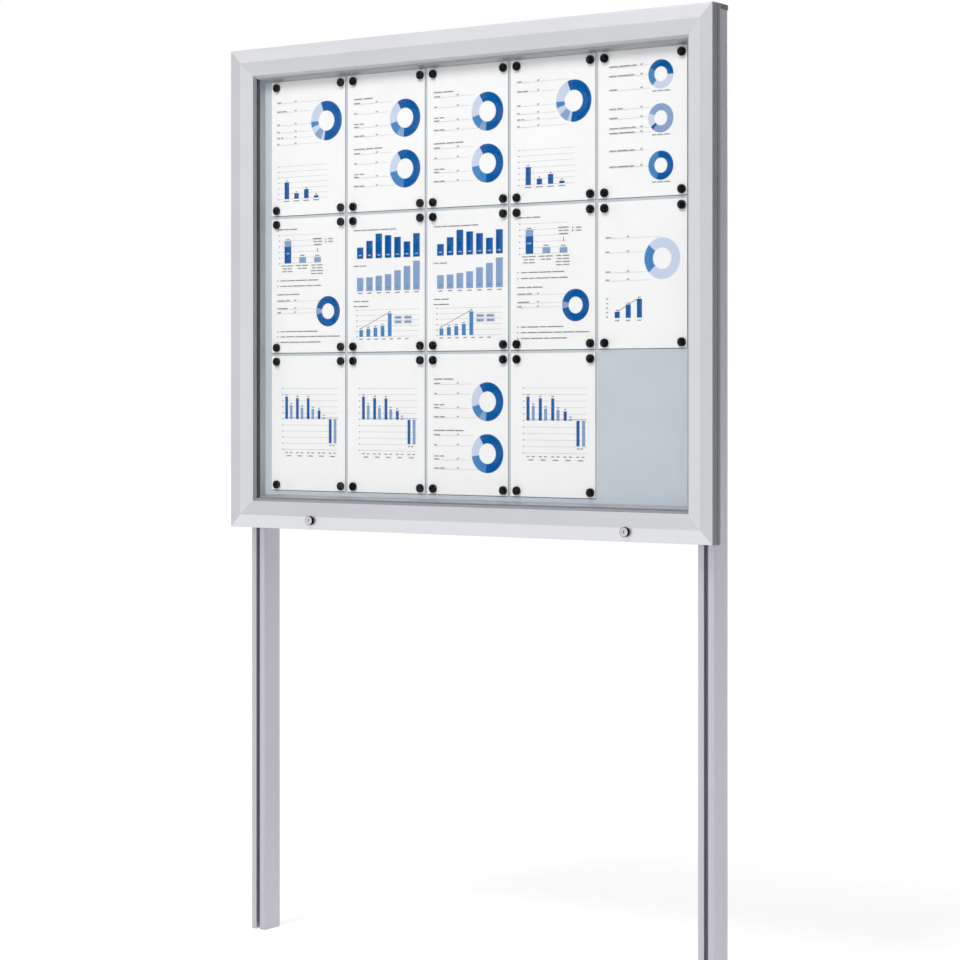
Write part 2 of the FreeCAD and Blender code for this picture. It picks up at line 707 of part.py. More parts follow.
# Sliding stays: an arm as long as its pivot's distance below the hinge, so that its far end
# always lies on the door's track
pivotZ = axisZ - size.stay_reach
shoeZ = axisZ - size.stay_reach * 2
trackTop = axisZ - size.stay_reach * 2 * size.stay_least + size.track_spare
trackLow = shoeZ - size.track_spare
trackHalf = size.axis_back - doorBack
for name, side in sides:
    track = newBody(f"stay_track_{name}")
    w = size.track_wall
    reach = size.track_wide
    slot = size.track_slot / 2
    section = [(zero, -trackHalf), (reach, -trackHalf), (reach, -slot), (reach - w, -slot),
               (reach - w, -trackHalf + w), (w, -trackHalf + w), (w, trackHalf - w),
               (reach - w, trackHalf - w), (reach - w, slot), (reach, slot),
               (reach, trackHalf), (zero, trackHalf)]
    pad(track, "XY_Plane", [[(across * -side, back) for across, back in section]],
        trackTop - trackLow)
    place(track, fromSide(side, size.track_in), axisY, trackLow)

    arm = newBody(f"stay_arm_{name}")
    broad = size.stay_broad / 2
    pad(arm, "YZ_Plane", [[(-broad, zero), (broad, zero), (broad, -size.stay_reach),
                           (-broad, -size.stay_reach)]], size.stay_bar)
    pad(arm, "YZ_Plane", [(zero, zero, broad)], size.stay_bar)
    pad(arm, "YZ_Plane", [(zero, -size.stay_reach, broad)], size.stay_bar)
    pinHole = size.stay_pin + size.running_gap
    pocket(arm, "YZ_Plane", [(zero, zero, pinHole), (zero, -size.stay_reach, pinHole)])
    armX, armWide = acrossSide(side, size.stay_in, size.stay_in + size.stay_bar)
    place(arm, armX, axisY, pivotZ)

    shoeIn = size.track_in + w + size.slider_gap
    shoeOut = size.track_in + reach - w - size.slider_gap
    shoeX, shoeWide = acrossSide(side, shoeIn, shoeOut)
    shoeHalf = trackHalf - w - size.slider_gap
    shoe = box(f"shoe_{name}", shoeX, axisY - shoeHalf, shoeZ - size.slider_long / 2,
               shoeWide, shoeHalf * 2, size.slider_long)
    pinEnd = size.stay_in + size.stay_bar + size.stay_play
    pinX, pinWide = acrossSide(side, shoeIn, pinEnd)
    headX, headWide = acrossSide(side, pinEnd, pinEnd + size.rivet_head)
    shoePin = cylinder(f"shoe_pin_{name}", "X", pinX, axisY, shoeZ, size.stay_pin, pinWide)
    shoeHead = cylinder(f"shoe_head_{name}", "X", headX, axisY, shoeZ, size.stay_head, headWide)
    keep(fuse(f"stay_slider_{name}", shoe, shoePin, shoeHead), f"stay_slider_{name}")

    lugIn = size.stay_in + size.stay_bar + size.bracket_gap
    lugX, lugWide = acrossSide(side, lugIn, lugIn + size.bracket_thick)
    footX, footWide = acrossSide(side, lugIn, lugIn + size.bracket_foot)
    footBack = depth(flangeFront - size.bracket_base)
    lugFront = axisY - broad
    lug = box(f"lug_{name}", lugX, lugFront, pivotZ - size.bracket_tall / 2,
              lugWide, footBack - lugFront, size.bracket_tall)
    foot = box(f"foot_{name}", footX, footBack, pivotZ - size.bracket_tall / 2,
               footWide, size.bracket_base, size.bracket_tall)
    lugHole = cylinder(f"lug_hole_{name}", "X", lugX - past, axisY, pivotZ, pinHole,
                       lugWide + past * 2)
    keep(cut(f"stay_bracket_{name}", fuse(f"lug_foot_{name}", lug, foot), lugHole),
         f"stay_bracket_{name}")

    pivot = []
    headOut = size.stay_in - size.stay_play
    shoulder = size.stay_in + size.stay_bar + size.stay_play
    lugOut = lugIn + size.bracket_thick
    for step, (near, far, radius) in enumerate((
            (headOut - size.rivet_head, headOut, size.stay_head),
            (headOut, lugOut, size.stay_pin),
            (shoulder, lugIn, size.stay_head),
            (lugOut, lugOut + size.rivet_head, size.stay_head))):
        pieceX, pieceWide = acrossSide(side, near, far)
        pivot.append(cylinder(f"pivot_{step}_{name}", "X", pieceX, axisY, pivotZ, radius, pieceWide))
    keep(fuse(f"stay_pivot_{name}", *pivot), f"stay_pivot_{name}")

# Cam locks in the door's bottom rail. The cams lie sideways, which is unlocked.
lockZ = fromBottom(size.lock_in)
plugEnd = size.lock_back + size.plug_spare
camBack = size.cam_front + size.cam_thick
for name, side in sides:
    lockX = size.lock_pitch / 2 * side + size.lock_shift
    body = newBody(f"lock_body_{name}")
    bore = size.lock_bore + size.running_gap
    turned(body, "YZ_Plane", [(-size.lock_proud, bore), (-size.lock_proud, size.lock_head - size.lock_bevel),
                              (size.lock_bevel - size.lock_proud, size.lock_head),
                              (zero, size.lock_head),
                              (zero, size.lock_body), (size.lock_back, size.lock_body),
                              (size.lock_back, bore)])
    place(body, lockX, front, lockZ)

    nut = cut(f"lock_nut_{name}",
              hexagon(f"nut_hex_{name}", lockX, depth(doorBack), lockZ, size.nut_flats,
                      size.nut_thick),
              cylinder(f"nut_hole_{name}", "Y", lockX, depth(doorBack - past), lockZ,
                       lockHole, size.nut_thick + past * 2))
    keep(nut, f"lock_nut_{name}")

    plug = newBody(f"lock_plug_{name}")
    screw = size.screw_round
    blunt = size.lock_bevel / 2
    turned(plug, "YZ_Plane", [(-size.lock_proud, zero), (-size.lock_proud, size.lock_bore - blunt),
                              (blunt - size.lock_proud, size.lock_bore),
                              (plugEnd, size.lock_bore), (plugEnd, zero)])
    tail = size.cam_square / 2
    square = [(-tail, -tail), (tail, -tail), (tail, tail), (-tail, tail)]
    pad(plug, "XZ_Plane", [square], camBack, backwards=True)
    pocket(plug, "XZ_Plane", [(zero, zero, screw)], camBack + past, backwards=False)
    slotHalf = size.keyway_long / 2
    slotThin = size.keyway_wide / 2
    pocket(plug, "XZ_Plane", [[(-slotThin, -slotHalf), (slotThin, -slotHalf),
                               (slotThin, slotHalf), (-slotThin, slotHalf)]],
           size.keyway_deep, backwards=True)
    place(plug, lockX, front, lockZ)

    cam = newBody(f"lock_cam_{name}")
    camHalf = size.cam_wide / 2
    camEnd = size.cam_reach - camHalf
    pad(cam, "XZ_Plane", [[(zero, -camHalf), (camEnd, -camHalf), (camEnd, camHalf),
                           (zero, camHalf)]], size.cam_thick, backwards=True)
    pad(cam, "XZ_Plane", [(zero, zero, size.cam_boss)], size.cam_thick, backwards=True)
    pad(cam, "XZ_Plane", [(camEnd, zero, camHalf)], size.cam_thick, backwards=True)
    hole = tail + size.running_gap
    pocket(cam, "XZ_Plane", [[(-hole, -hole), (hole, -hole), (hole, hole), (-hole, hole)]])
    place(cam, lockX, depth(size.cam_front), lockZ)

    head = cylinder(f"cam_screw_head_{name}", "Y", lockX, depth(camBack), lockZ,
                    size.screw_head, size.screw_head_tall)
    shank = cylinder(f"cam_screw_shank_{name}", "Y", lockX, depth(camBack - size.screw_long),
                     lockZ, size.screw_round - size.running_gap, size.screw_long)
    keep(fuse(f"cam_screw_{name}", head, shank), f"cam_screw_{name}")

# Keepers on the case's bottom wall, that the turned cams reach behind
keepers = []
for name, side in sides:
    keeperX = size.lock_pitch / 2 * side + size.lock_shift - size.keeper_wide / 2
    keeperFoot = box(f"keeper_foot_{name}", keeperX, depth(size.keeper_front), fromBottom(0),
                     size.keeper_wide, size.keeper_deep, size.keeper_thick)
    keeperLip = box(f"keeper_lip_{name}", keeperX, depth(size.keeper_front), fromBottom(0),
                    size.keeper_wide, size.keeper_thick, size.keeper_tall)
    keepers.append(fuse(f"keeper_{name}", keeperFoot, keeperLip))
group("lock_keepers", keepers)

# Four bolts through the case's back flange into nuts in the slots of the posts
bolts, washers, spacers, slotNuts = [], [], [], []
postFront = size.board_deep + size.spacer_thick
lipBack = postFront + size.post_wall
boltEnd = lipBack + size.slot_nut_thick
headFront = flangeFront - size.washer_thick
for name, side in sides:
    for level, end in (("low", -1), ("high", 1)):
        x = size.post_pitch / 2 * side
        z = middle + size.bolt_rise * end
        tag = f"{level}_{name}"
        bolts.append(fuse(f"bolt_{tag}",
                          hexagon(f"bolt_head_{tag}", x, depth(headFront - size.bolt_head), z,
                                  size.bolt_flats, size.bolt_head),
                          cylinder(f"bolt_shank_{tag}", "Y", x, depth(headFront), z,
                                   size.bolt_round, boltEnd - headFront)))
        washers.append(cut(f"washer_{tag}",
                           cylinder(f"washer_disc_{tag}", "Y", x, depth(headFront), z,
                                    size.washer_round, size.washer_thick),
                           cylinder(f"washer_hole_{tag}", "Y", x, depth(headFront - past), z,
                                    boltHole, size.washer_thick + past * 2)))
        plateWide = size.post_wide - size.post_front_round * 2
        spacers.append(cut(f"spacer_{tag}",
                           box(f"spacer_plate_{tag}", x - plateWide / 2, depth(size.board_deep),
                               z - size.spacer_tall / 2, plateWide, size.spacer_thick,
                               size.spacer_tall),
                           cylinder(f"spacer_hole_{tag}", "Y", x, depth(size.board_deep - past), z,
                                    boltHole, size.spacer_thick + past * 2)))
        nutHalf = size.slot_nut / 2
        slotNuts.append(cut(f"slot_nut_{tag}",
                            box(f"slot_nut_block_{tag}", x - nutHalf, depth(lipBack), z - nutHalf,
                                size.slot_nut, size.slot_nut_thick, size.slot_nut),
                            cylinder(f"slot_nut_hole_{tag}", "Y", x, depth(lipBack - past), z,
                                     size.bolt_round + size.running_gap,
                                     size.slot_nut_thick + past * 2)))
group("mounting_bolts", bolts)
group("mounting_washers", washers)
group("mounting_spacers", spacers)
group("slot_nuts", slotNuts)

# Fourteen sheets in three rows of five, the last place empty, with a magnet near each corner.
# The magnets are many, so each is drawn with a few flat sides.
magnetSides = 16
sheets, magnets = [], []
for row in range(sheetRows):
    for column in range(sheetColumns):
        if row == sheetRows - 1 and column == sheetColumns - 1:
            continue
        x = size.sheet_shift + size.sheet_step_across * (column - (sheetColumns - 1) / 2)
        z = middle + size.sheet_rise + size.sheet_step_down * ((sheetRows - 1) / 2 - row)
        tag = f"{row}_{column}"
        sheets.append(box(f"sheet_{tag}", x - size.sheet_wide / 2,
                          depth(panelFront - size.sheet_thick), z - size.sheet_tall / 2,
                          size.sheet_wide, size.sheet_thick, size.sheet_tall))
        for across in (-1, 1):
            for up in (-1, 1):
                magnetX = x + (size.sheet_wide / 2 - size.magnet_in) * across
                magnetZ = z + (size.sheet_tall / 2 - size.magnet_in) * up
                magnetY = depth(panelFront - size.sheet_thick - size.magnet_thick)
                magnets.append(prism(f"magnet_{tag}_{across + 1}{up + 1}", magnetSides, magnetX,
                                     magnetY, magnetZ, size.magnet_round, size.magnet_thick))
group("notice_sheets", sheets)
group("magnets", magnets)

# Recompute, check every object, then write one file for each piece
doc.recompute()
for item in doc.Objects:
    if "Invalid" in item.State or "Error" in item.State:
        raise RuntimeError(f"{item.Name} did not recompute: {item.State}")
os.makedirs("parts", exist_ok=True)
for piece in pieces:
    if piece.Shape.isNull() or not piece.Shape.isValid() or not piece.Shape.Solids:
        raise RuntimeError(f"{piece.Label} has no valid solid")
for piece in pieces:
    piece.Shape.exportStep(f"parts/{piece.Label}.step")
    room = piece.Shape.BoundBox
    print(f"{piece.Label}: {len(piece.Shape.Solids)} solid(s), "
          f"x {room.XMin:.1f} to {room.XMax:.1f}, y {room.YMin:.1f} to {room.YMax:.1f}, "
          f"z {room.ZMin:.1f} to {room.ZMax:.1f}, volume {piece.Shape.Volume / 1000:.1f} cm3")
print(f"{len(pieces)} pieces written")
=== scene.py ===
import bmesh
import bpy
import math
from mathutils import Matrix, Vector


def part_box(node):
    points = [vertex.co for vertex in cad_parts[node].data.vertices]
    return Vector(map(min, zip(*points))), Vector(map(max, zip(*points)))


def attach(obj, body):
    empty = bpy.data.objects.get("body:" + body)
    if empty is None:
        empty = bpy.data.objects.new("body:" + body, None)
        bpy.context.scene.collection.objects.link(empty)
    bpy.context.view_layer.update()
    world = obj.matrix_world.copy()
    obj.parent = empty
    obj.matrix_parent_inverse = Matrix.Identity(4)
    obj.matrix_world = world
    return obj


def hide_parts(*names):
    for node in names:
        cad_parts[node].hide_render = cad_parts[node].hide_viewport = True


# Lockable notice board on two posts. Metres, X to the right, Y to the rear, Z up.
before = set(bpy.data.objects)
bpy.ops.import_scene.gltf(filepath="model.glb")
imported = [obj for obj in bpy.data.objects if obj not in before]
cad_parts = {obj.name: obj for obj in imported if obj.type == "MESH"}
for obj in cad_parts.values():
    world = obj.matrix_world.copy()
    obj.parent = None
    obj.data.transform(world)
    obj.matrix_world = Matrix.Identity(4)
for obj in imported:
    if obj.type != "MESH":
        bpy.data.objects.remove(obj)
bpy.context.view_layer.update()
mm = 0.001
hair = 0.01 * mm  # places this close are taken as the same
roundAngle = 35  # smooths the rims of caps, magnets and locks
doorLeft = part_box("door_rail_left")[0][0]
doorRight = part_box("door_rail_right")[1][0]
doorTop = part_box("door_rail_top")[1][2]
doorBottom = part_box("door_rail_bottom")[0][2]
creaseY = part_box("door_rail_top")[0][1]  # the door's foremost line
doorWide = doorRight - doorLeft
doorTall = doorTop - doorBottom
boardMiddle = (doorTop + doorBottom) / 2


# Small helpers

def middleOf(low, high):
    return tuple((first + last) / 2 for first, last in zip(low, high))


def deselectAll():
    bpy.ops.object.select_all(action="DESELECT")


def takeActive(name):
    piece = bpy.context.active_object
    piece.name = name
    piece.data.name = name
    return piece


def makeActive(piece):
    deselectAll()
    piece.select_set(True)
    bpy.context.view_layer.objects.active = piece


def startEdit(piece):
    makeActive(piece)
    bpy.ops.object.mode_set(mode="EDIT")
    bpy.ops.mesh.select_all(action="SELECT")


def endEdit():
    bpy.ops.object.mode_set(mode="OBJECT")


def selectWhere(piece, kind, test):
    # selects the verts, edges or faces whose middle passes the test
    bpy.ops.mesh.select_mode(type={"verts": "VERT", "edges": "EDGE", "faces": "FACE"}[kind])
    bpy.ops.mesh.select_all(action="DESELECT")
    shape = bmesh.from_edit_mesh(piece.data)
    for part in getattr(shape, kind):
        if kind == "verts":
            middle = part.co
        else:
            middle = sum((vert.co for vert in part.verts), Vector()) / len(part.verts)
        if test(middle, part):
            part.select = True
    shape.select_flush_mode()
    bmesh.update_edit_mesh(piece.data)


def applyModifier(piece, kind, **settings):
    makeActive(piece)
    modifier = piece.modifiers.new(kind.title(), kind)
    for key, value in settings.items():
        setattr(modifier, key, value)
    bpy.ops.object.modifier_apply(modifier=modifier.name)


def turnOutwards():
    bpy.ops.mesh.select_all(action="SELECT")
    bpy.ops.mesh.normals_make_consistent(inside=False)


def softenEdges(piece, width, angle=30):
    applyModifier(piece, "BEVEL", width=width, segments=2, limit_method="ANGLE",
                  angle_limit=math.radians(angle), harden_normals=False)


def smoothByAngle(piece, angle=30):
    makeActive(piece)
    bpy.ops.object.shade_smooth_by_angle(angle=math.radians(angle))


def applyPlace(piece):
    makeActive(piece)
    bpy.ops.object.transform_apply(location=True, rotation=True, scale=True)


def addCopy(piece, place):
    # a copy with a mesh of its own
    copy = piece.copy()
    copy.data = piece.data.copy()
    bpy.context.scene.collection.objects.link(copy)
    copy.location = place
    return copy


def joinPieces(name, pieces):
    deselectAll()
    for piece in pieces:
        piece.select_set(True)
    bpy.context.view_layer.objects.active = pieces[0]
    bpy.ops.object.join()
    return takeActive(name)


def settle(piece, body, material, slotName, *nodes):
    # the piece's finish, the body that it moves with, and the CAD nodes that it stands for
    applyPlace(piece)
    if not piece.data.materials:
        piece.data.materials.append(material)
    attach(piece, body)
    if nodes:
        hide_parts(*nodes)


# Materials

def linear(hexColour):
    parts = [int(hexColour[start:start + 2], 16) / 255 for start in (1, 3, 5)]
    return tuple(part / 12.92 if part <= 0.04045 else ((part + 0.055) / 1.055) ** 2.4
                 for part in parts) + (1,)


def addNode(tree, kind, settings=None, links=None):
    node = tree.nodes.new("ShaderNode" + kind)
    for key, value in (settings or {}).items():
        if isinstance(key, int) or key in node.inputs:
            node.inputs[key].default_value = value
        else:
            setattr(node, key, value)
    for key, source in (links or {}).items():
        tree.links.new(source, node.inputs[key])
    return node


def startMaterial(name, **look):
    material = bpy.data.materials.new(name)
    material.use_nodes = True
    shader = material.node_tree.nodes["Principled BSDF"]
    for key, value in look.items():
        shader.inputs[key.replace("_", " ")].default_value = value
    return material, material.node_tree, shader


# An extruded and anodised surface: faint die lines along the extrusion, drawn coarser than the
# real 0.3 mm ones so that they show, and a soft unevenness about a hand wide
extrusionLook = {"dieLine": 2.6 * mm, "dieLineLong": 900 * mm, "cloud": 120 * mm}


def anodised(name, colour, deeper, roughness, along, metallic=0.8):
    material, tree, shader = startMaterial(name, Metallic=metallic)
    where = addNode(tree, "TexCoord")
    fine = 1 / extrusionLook["dieLine"]
    long = 1 / extrusionLook["dieLineLong"]
    scale = {"X": (long, fine, fine), "Z": (fine, fine, long)}[along]
    stretch = addNode(tree, "Mapping", {"Scale": scale}, {"Vector": where.outputs["Object"]})
    lines = addNode(tree, "TexNoise", {"Scale": 1.0, "Detail": 3.0, "Roughness": 0.6},
                    {"Vector": stretch.outputs["Vector"]})
    clouds = addNode(tree, "TexNoise", {"Scale": 1 / extrusionLook["cloud"], "Detail": 2.0},
                     {"Vector": where.outputs["Object"]})
    both = addNode(tree, "Mix", {"data_type": "FLOAT", "Factor": 0.35},
                   {"A": lines.outputs["Fac"], "B": clouds.outputs["Fac"]})
    tone = addNode(tree, "ValToRGB", {}, {"Fac": both.outputs["Result"]})
    tone.color_ramp.elements[0].position = 0.3
    tone.color_ramp.elements[0].color = linear(deeper)
    tone.color_ramp.elements[1].position = 0.7
    tone.color_ramp.elements[1].color = linear(colour)
    rough = addNode(tree, "MapRange", {"From Min": 0.3, "From Max": 0.7,
                                       "To Min": roughness - 0.03, "To Max": roughness + 0.03},
                    {"Value": both.outputs["Result"]})
    bump = addNode(tree, "Bump", {"Strength": 0.12, "Distance": 0.05 * mm},
                   {"Height": lines.outputs["Fac"]})
    tree.links.new(tone.outputs["Color"], shader.inputs["Base Color"])
    tree.links.new(rough.outputs["Result"], shader.inputs["Roughness"])
    tree.links.new(bump.outputs["Normal"], shader.inputs["Normal"])
    return material


# A sprayed, moulded, plated or printed surface: one colour with a slight cloudiness and a fine
# grain, whose size and depth each finish gives
coatCloud = 90 * mm


def coated(name, colour, deeper, roughness, grain, depth, metallic=0.0, specular=0.5):
    material, tree, shader = startMaterial(name, Metallic=metallic, Roughness=roughness,
                                           Specular_IOR_Level=specular)
    where = addNode(tree, "TexCoord")
    cloud = addNode(tree, "TexNoise", {"Scale": 1 / coatCloud, "Detail": 3.0},
                    {"Vector": where.outputs["Object"]})
    skin = addNode(tree, "TexNoise", {"Scale": 1 / grain, "Detail": 2.0},
                   {"Vector": where.outputs["Object"]})
    tone = addNode(tree, "ValToRGB", {}, {"Fac": cloud.outputs["Fac"]})
    tone.color_ramp.elements[0].position = 0.35
    tone.color_ramp.elements[0].color = linear(deeper)
    tone.color_ramp.elements[1].position = 0.65
    tone.color_ramp.elements[1].color = linear(colour)
    bump = addNode(tree, "Bump", {"Strength": 0.25, "Distance": depth},
                   {"Height": skin.outputs["Fac"]})
    tree.links.new(tone.outputs["Color"], shader.inputs["Base Color"])
    tree.links.new(bump.outputs["Normal"], shader.inputs["Normal"])
    return material


# Anodised aluminium, natural: pale silver with a soft sheen. The same finish is painted lighter on
# the rails across and darker on the upright ones, as painted light and shade
litDoorAcross = anodised("anodisedAluminiumAcrossPaintedLight", "#E1E2E6", "#DADBDF", 0.38, "X")
shadedDoorUpright = anodised("anodisedAluminiumUprightPaintedShade", "#CDCED2", "#C6C7CB", 0.38, "Z")
# The bevels of the same rails, with painted shade across and a painted highlight upright, against
# the flat band
shadedBevelAcross = anodised("anodisedBevelAcrossPaintedShade", "#D1D2D6", "#CACBCF", 0.42, "X")
litBevelUpright = anodised("anodisedBevelUprightPaintedLight", "#D9DADE", "#D2D3D7", 0.36, "Z")
# The same finish on the posts, the inner trim and the fittings, each a little greyer
postMetal = anodised("anodisedAluminiumPost", "#C6C6CB", "#BEBEC4", 0.42, "Z")
trimAcross = anodised("anodisedTrimAcross", "#BCC0C3", "#B4B8BB", 0.45, "X")
trimUpright = anodised("anodisedTrimUpright", "#BCC0C3", "#B4B8BB", 0.45, "Z")
fittingMetal = anodised("anodisedAluminiumFitting", "#C6C8CB", "#BDBFC3", 0.4, "X", 0.9)
# Aluminium powder-coated in dark grey: an even satin coat with a fine orange peel. On the door
# rails' outer return the same dark grey is painted shade
darkCoatAndShade = coated("powderCoatDarkGreyAndPaintedShade", "#838486", "#808184", 0.5, 1.2 * mm, 0.03 * mm)
# Coil-coated sheet steel, pale blue-grey: flat and satin
panelCoat = coated("coilCoatedSteelPale", "#C3CBD1", "#BEC7CE", 0.42, 1.0 * mm, 0.01 * mm)
backCoat = coated("coilCoatedSteelGrey", "#B4B8BB", "#B1B5B8", 0.5, 1.0 * mm, 0.01 * mm)
# EPDM rubber, extruded: near black and dull
rubber = coated("epdmRubberBlack", "#1E1F21", "#191A1C", 0.7, 0.8 * mm, 0.03 * mm, specular=0.3)
# Glazing gasket of the same rubber in grey, with a painted lighter copy along the top and a
# painted shaded copy behind the pane
gasketSkin = {"roughness": 0.65, "grain": 0.8 * mm, "depth": 0.03 * mm, "specular": 0.3}
greyRubber = coated("epdmRubberGrey", "#8D8F92", "#898B8E", **gasketSkin)
litGreyRubber = coated("epdmRubberGreyPaintedLight", "#C8CACD", "#C4C6C9", **gasketSkin)
shadedGreyRubber = coated("epdmRubberGreyPaintedShade", "#5C5E61", "#56585B", **gasketSkin)
# Polyamide, moulded in black or grey with an eroded grain
blackPlastic = coated("polyamideBlack", "#070708", "#060607", 0.5, 0.9 * mm, 0.03 * mm,
                      specular=0.08)
greyPlastic = coated("polyamideGrey", "#6F7072", "#696A6C", 0.55, 0.9 * mm, 0.03 * mm)
# ABS caps of the magnets, deep black with a dull skin
magnetBlack = coated("absCapBlack", "#040405", "#030304", 0.5, 0.9 * mm, 0.02 * mm, specular=0.05)
# Zinc-plated steel: bluish, a little cloudy from the bath
zincPlate = coated("zincPlatedSteel", "#C4C8CC", "#AEB3B8", 0.34, 2.0 * mm, 0.01 * mm, 1.0)
# Nickel-plated brass, polished
nickel = coated("nickelPlatedBrass", "#D2D2D3", "#CCCCCD", 0.32, 3.0 * mm, 0.002 * mm, 1.0)
# Cast zinc, as the cleats come from the mould
castMetal = coated("castZinc", "#A5A7A9", "#989A9C", 0.55, 1.5 * mm, 0.04 * mm, 0.8)
# Copy paper, warm white, matt, with a hardly visible tooth
paper = coated("copyPaperWhite", "#F6F5F4", "#F4F3F2", 0.75, 1.6 * mm, 0.02 * mm, specular=0.2)
# Printing ink, soaked into the paper: matt and even
inkColours = {
    "dark": ("printInkDarkBlue", "#03579E", "#02549A"),
    "mid": ("printInkMidBlue", "#4483BD", "#4180B9"),
    "light": ("printInkLightBlue", "#86A2C6", "#839FC3"),
    "pale": ("printInkPaleBlue", "#C9D3E7", "#C7D1E5"),
    "grey": ("printInkGrey", "#999DA1", "#969A9E"),
    "text": ("printInkTextGrey", "#393D42", "#363A3F"),
    # the sheets' edge lines, which also carry their painted shadow on the right and below
    "edge": ("paperEdgeAndPaintedShadowGrey", "#5A5D61", "#56595D"),
}
inks = {key: coated(name, colour, deeper, 0.7, 1.6 * mm, 0.01 * mm, specular=0.02)
        for key, (name, colour, deeper) in inkColours.items()}
inkOrder = list(inks)

# Safety glass, 3 mm, clear: mostly see-through, so that lamps light what lies behind it
glass, glassTree, glassShader = startMaterial(
    "clearSafetyGlass", Base_Color=linear("#F2F7F6"), Roughness=0.02, IOR=1.5,
    Transmission_Weight=1.0, Alpha=0.2)
edgeOn = addNode(glassTree, "LayerWeight", {"Blend": 0.12})
glassAlpha = addNode(glassTree, "MapRange", {"To Min": 0.02, "To Max": 0.5},
                     {"Value": edgeOn.outputs["Fresnel"]})
glassTree.links.new(glassAlpha.outputs["Result"], glassShader.inputs["Alpha"])
print("materials made")


# Extruded pieces: one long edge is pulled from corner to corner of the section, and the ends are
# cut off square or in a mitre. Across the section, y is the depth and z runs inward as negative.

def drawExtrusion(name, outline, span):
    deselectAll()
    bpy.ops.mesh.primitive_plane_add(size=span, location=(0, 0, 0))
    piece = takeActive(name)
    startEdit(piece)
    selectWhere(piece, "verts", lambda middle, part: middle.y > 0)
    bpy.ops.mesh.delete(type="VERT")
    bpy.ops.mesh.select_mode(type="EDGE")
    bpy.ops.mesh.select_all(action="SELECT")
    firstY, firstZ = outline[0]
    bpy.ops.transform.translate(value=(0, firstY + span / 2, firstZ))
    following = outline[1:] + outline[:1]
    for (fromY, fromZ), (toY, toZ) in zip(outline, following):
        bpy.ops.mesh.extrude_edges_move(
            TRANSFORM_OT_translate={"value": (0, toY - fromY, toZ - fromZ)})
    bpy.ops.mesh.select_all(action="SELECT")
    bpy.ops.mesh.remove_doubles(threshold=hair)
    return piece


def cutOff(point, direction):
    # cuts the piece in edit mode at a plane and closes the cut
    bpy.ops.mesh.select_mode(type="VERT")
    bpy.ops.mesh.select_all(action="SELECT")
    bpy.ops.mesh.bisect(plane_co=point, plane_no=direction, use_fill=True, clear_outer=True)


def roundLongEdges(piece, spots, radius, segments):
    # rounds the edges that run along the piece through these spots of its section
    def runsThrough(middle, edge):
        run = edge.verts[0].co - edge.verts[1].co
        if abs(run.x) < 0.5 * run.length:
            return False
        return any(abs(middle.y - y) + abs(middle.z - z) < 5 * hair for y, z in spots)
    selectWhere(piece, "edges", runsThrough)
    bpy.ops.mesh.bevel(offset=radius, segments=segments, affect="EDGES")


def inMm(points):
    # (depth, inward) in mm to y and z of a section
    return [(depth * mm, -inward * mm) for depth, inward in points]


railTurns = {"top": 0, "right": 90, "bottom": 180, "left": 270}
mitreGap = 0.05 * mm
spareLength = 40 * mm  # cut off again at the ends
railAngle = 10.5  # above the 9 degrees between a round's facets, below the door's crease


def frameRail(name, side, inset, outline, softEdge, rounds=()):
    # one of four mitred rails, its outer edge inset from the door's outline
    wide = doorWide - inset * 2
    tall = doorTall - inset * 2
    span = wide if side in ("top", "bottom") else tall
    piece = drawExtrusion(name, inMm(outline), span + spareLength)
    for depth, inward, radius in rounds:
        roundLongEdges(piece, inMm([(depth, inward)]), radius * mm, 10)
    endEdit()
    softenEdges(piece, softEdge, railAngle)
    startEdit(piece)
    for end in (-1, 1):
        cutOff(((span / 2 - mitreGap) * end, 0, 0), (end, 0, -1))
    turnOutwards()
    endEdit()
    smoothByAngle(piece, railAngle)
    piece.location = {"top": (0, creaseY, boardMiddle + tall / 2),
                      "bottom": (0, creaseY, boardMiddle - tall / 2),
                      "right": (wide / 2, creaseY, boardMiddle),
                      "left": (-wide / 2, creaseY, boardMiddle)}[side]
    piece.rotation_euler = (0, math.radians(railTurns[side]), 0)
    applyPlace(piece)
    return piece


def cutOut(piece, cutter):
    applyModifier(piece, "BOOLEAN", object=cutter, operation="DIFFERENCE", solver="EXACT")
    bpy.data.objects.remove(cutter)


def drillHole(piece, x, z, radius):
    # a round hole from front to rear, by a drill that is longer than any piece is deep
    deselectAll()
    bpy.ops.mesh.primitive_cylinder_add(vertices=48, radius=radius, depth=200 * mm,
                                        location=(x, creaseY, z), rotation=(math.pi / 2, 0, 0))
    cutOut(piece, takeActive("drill"))


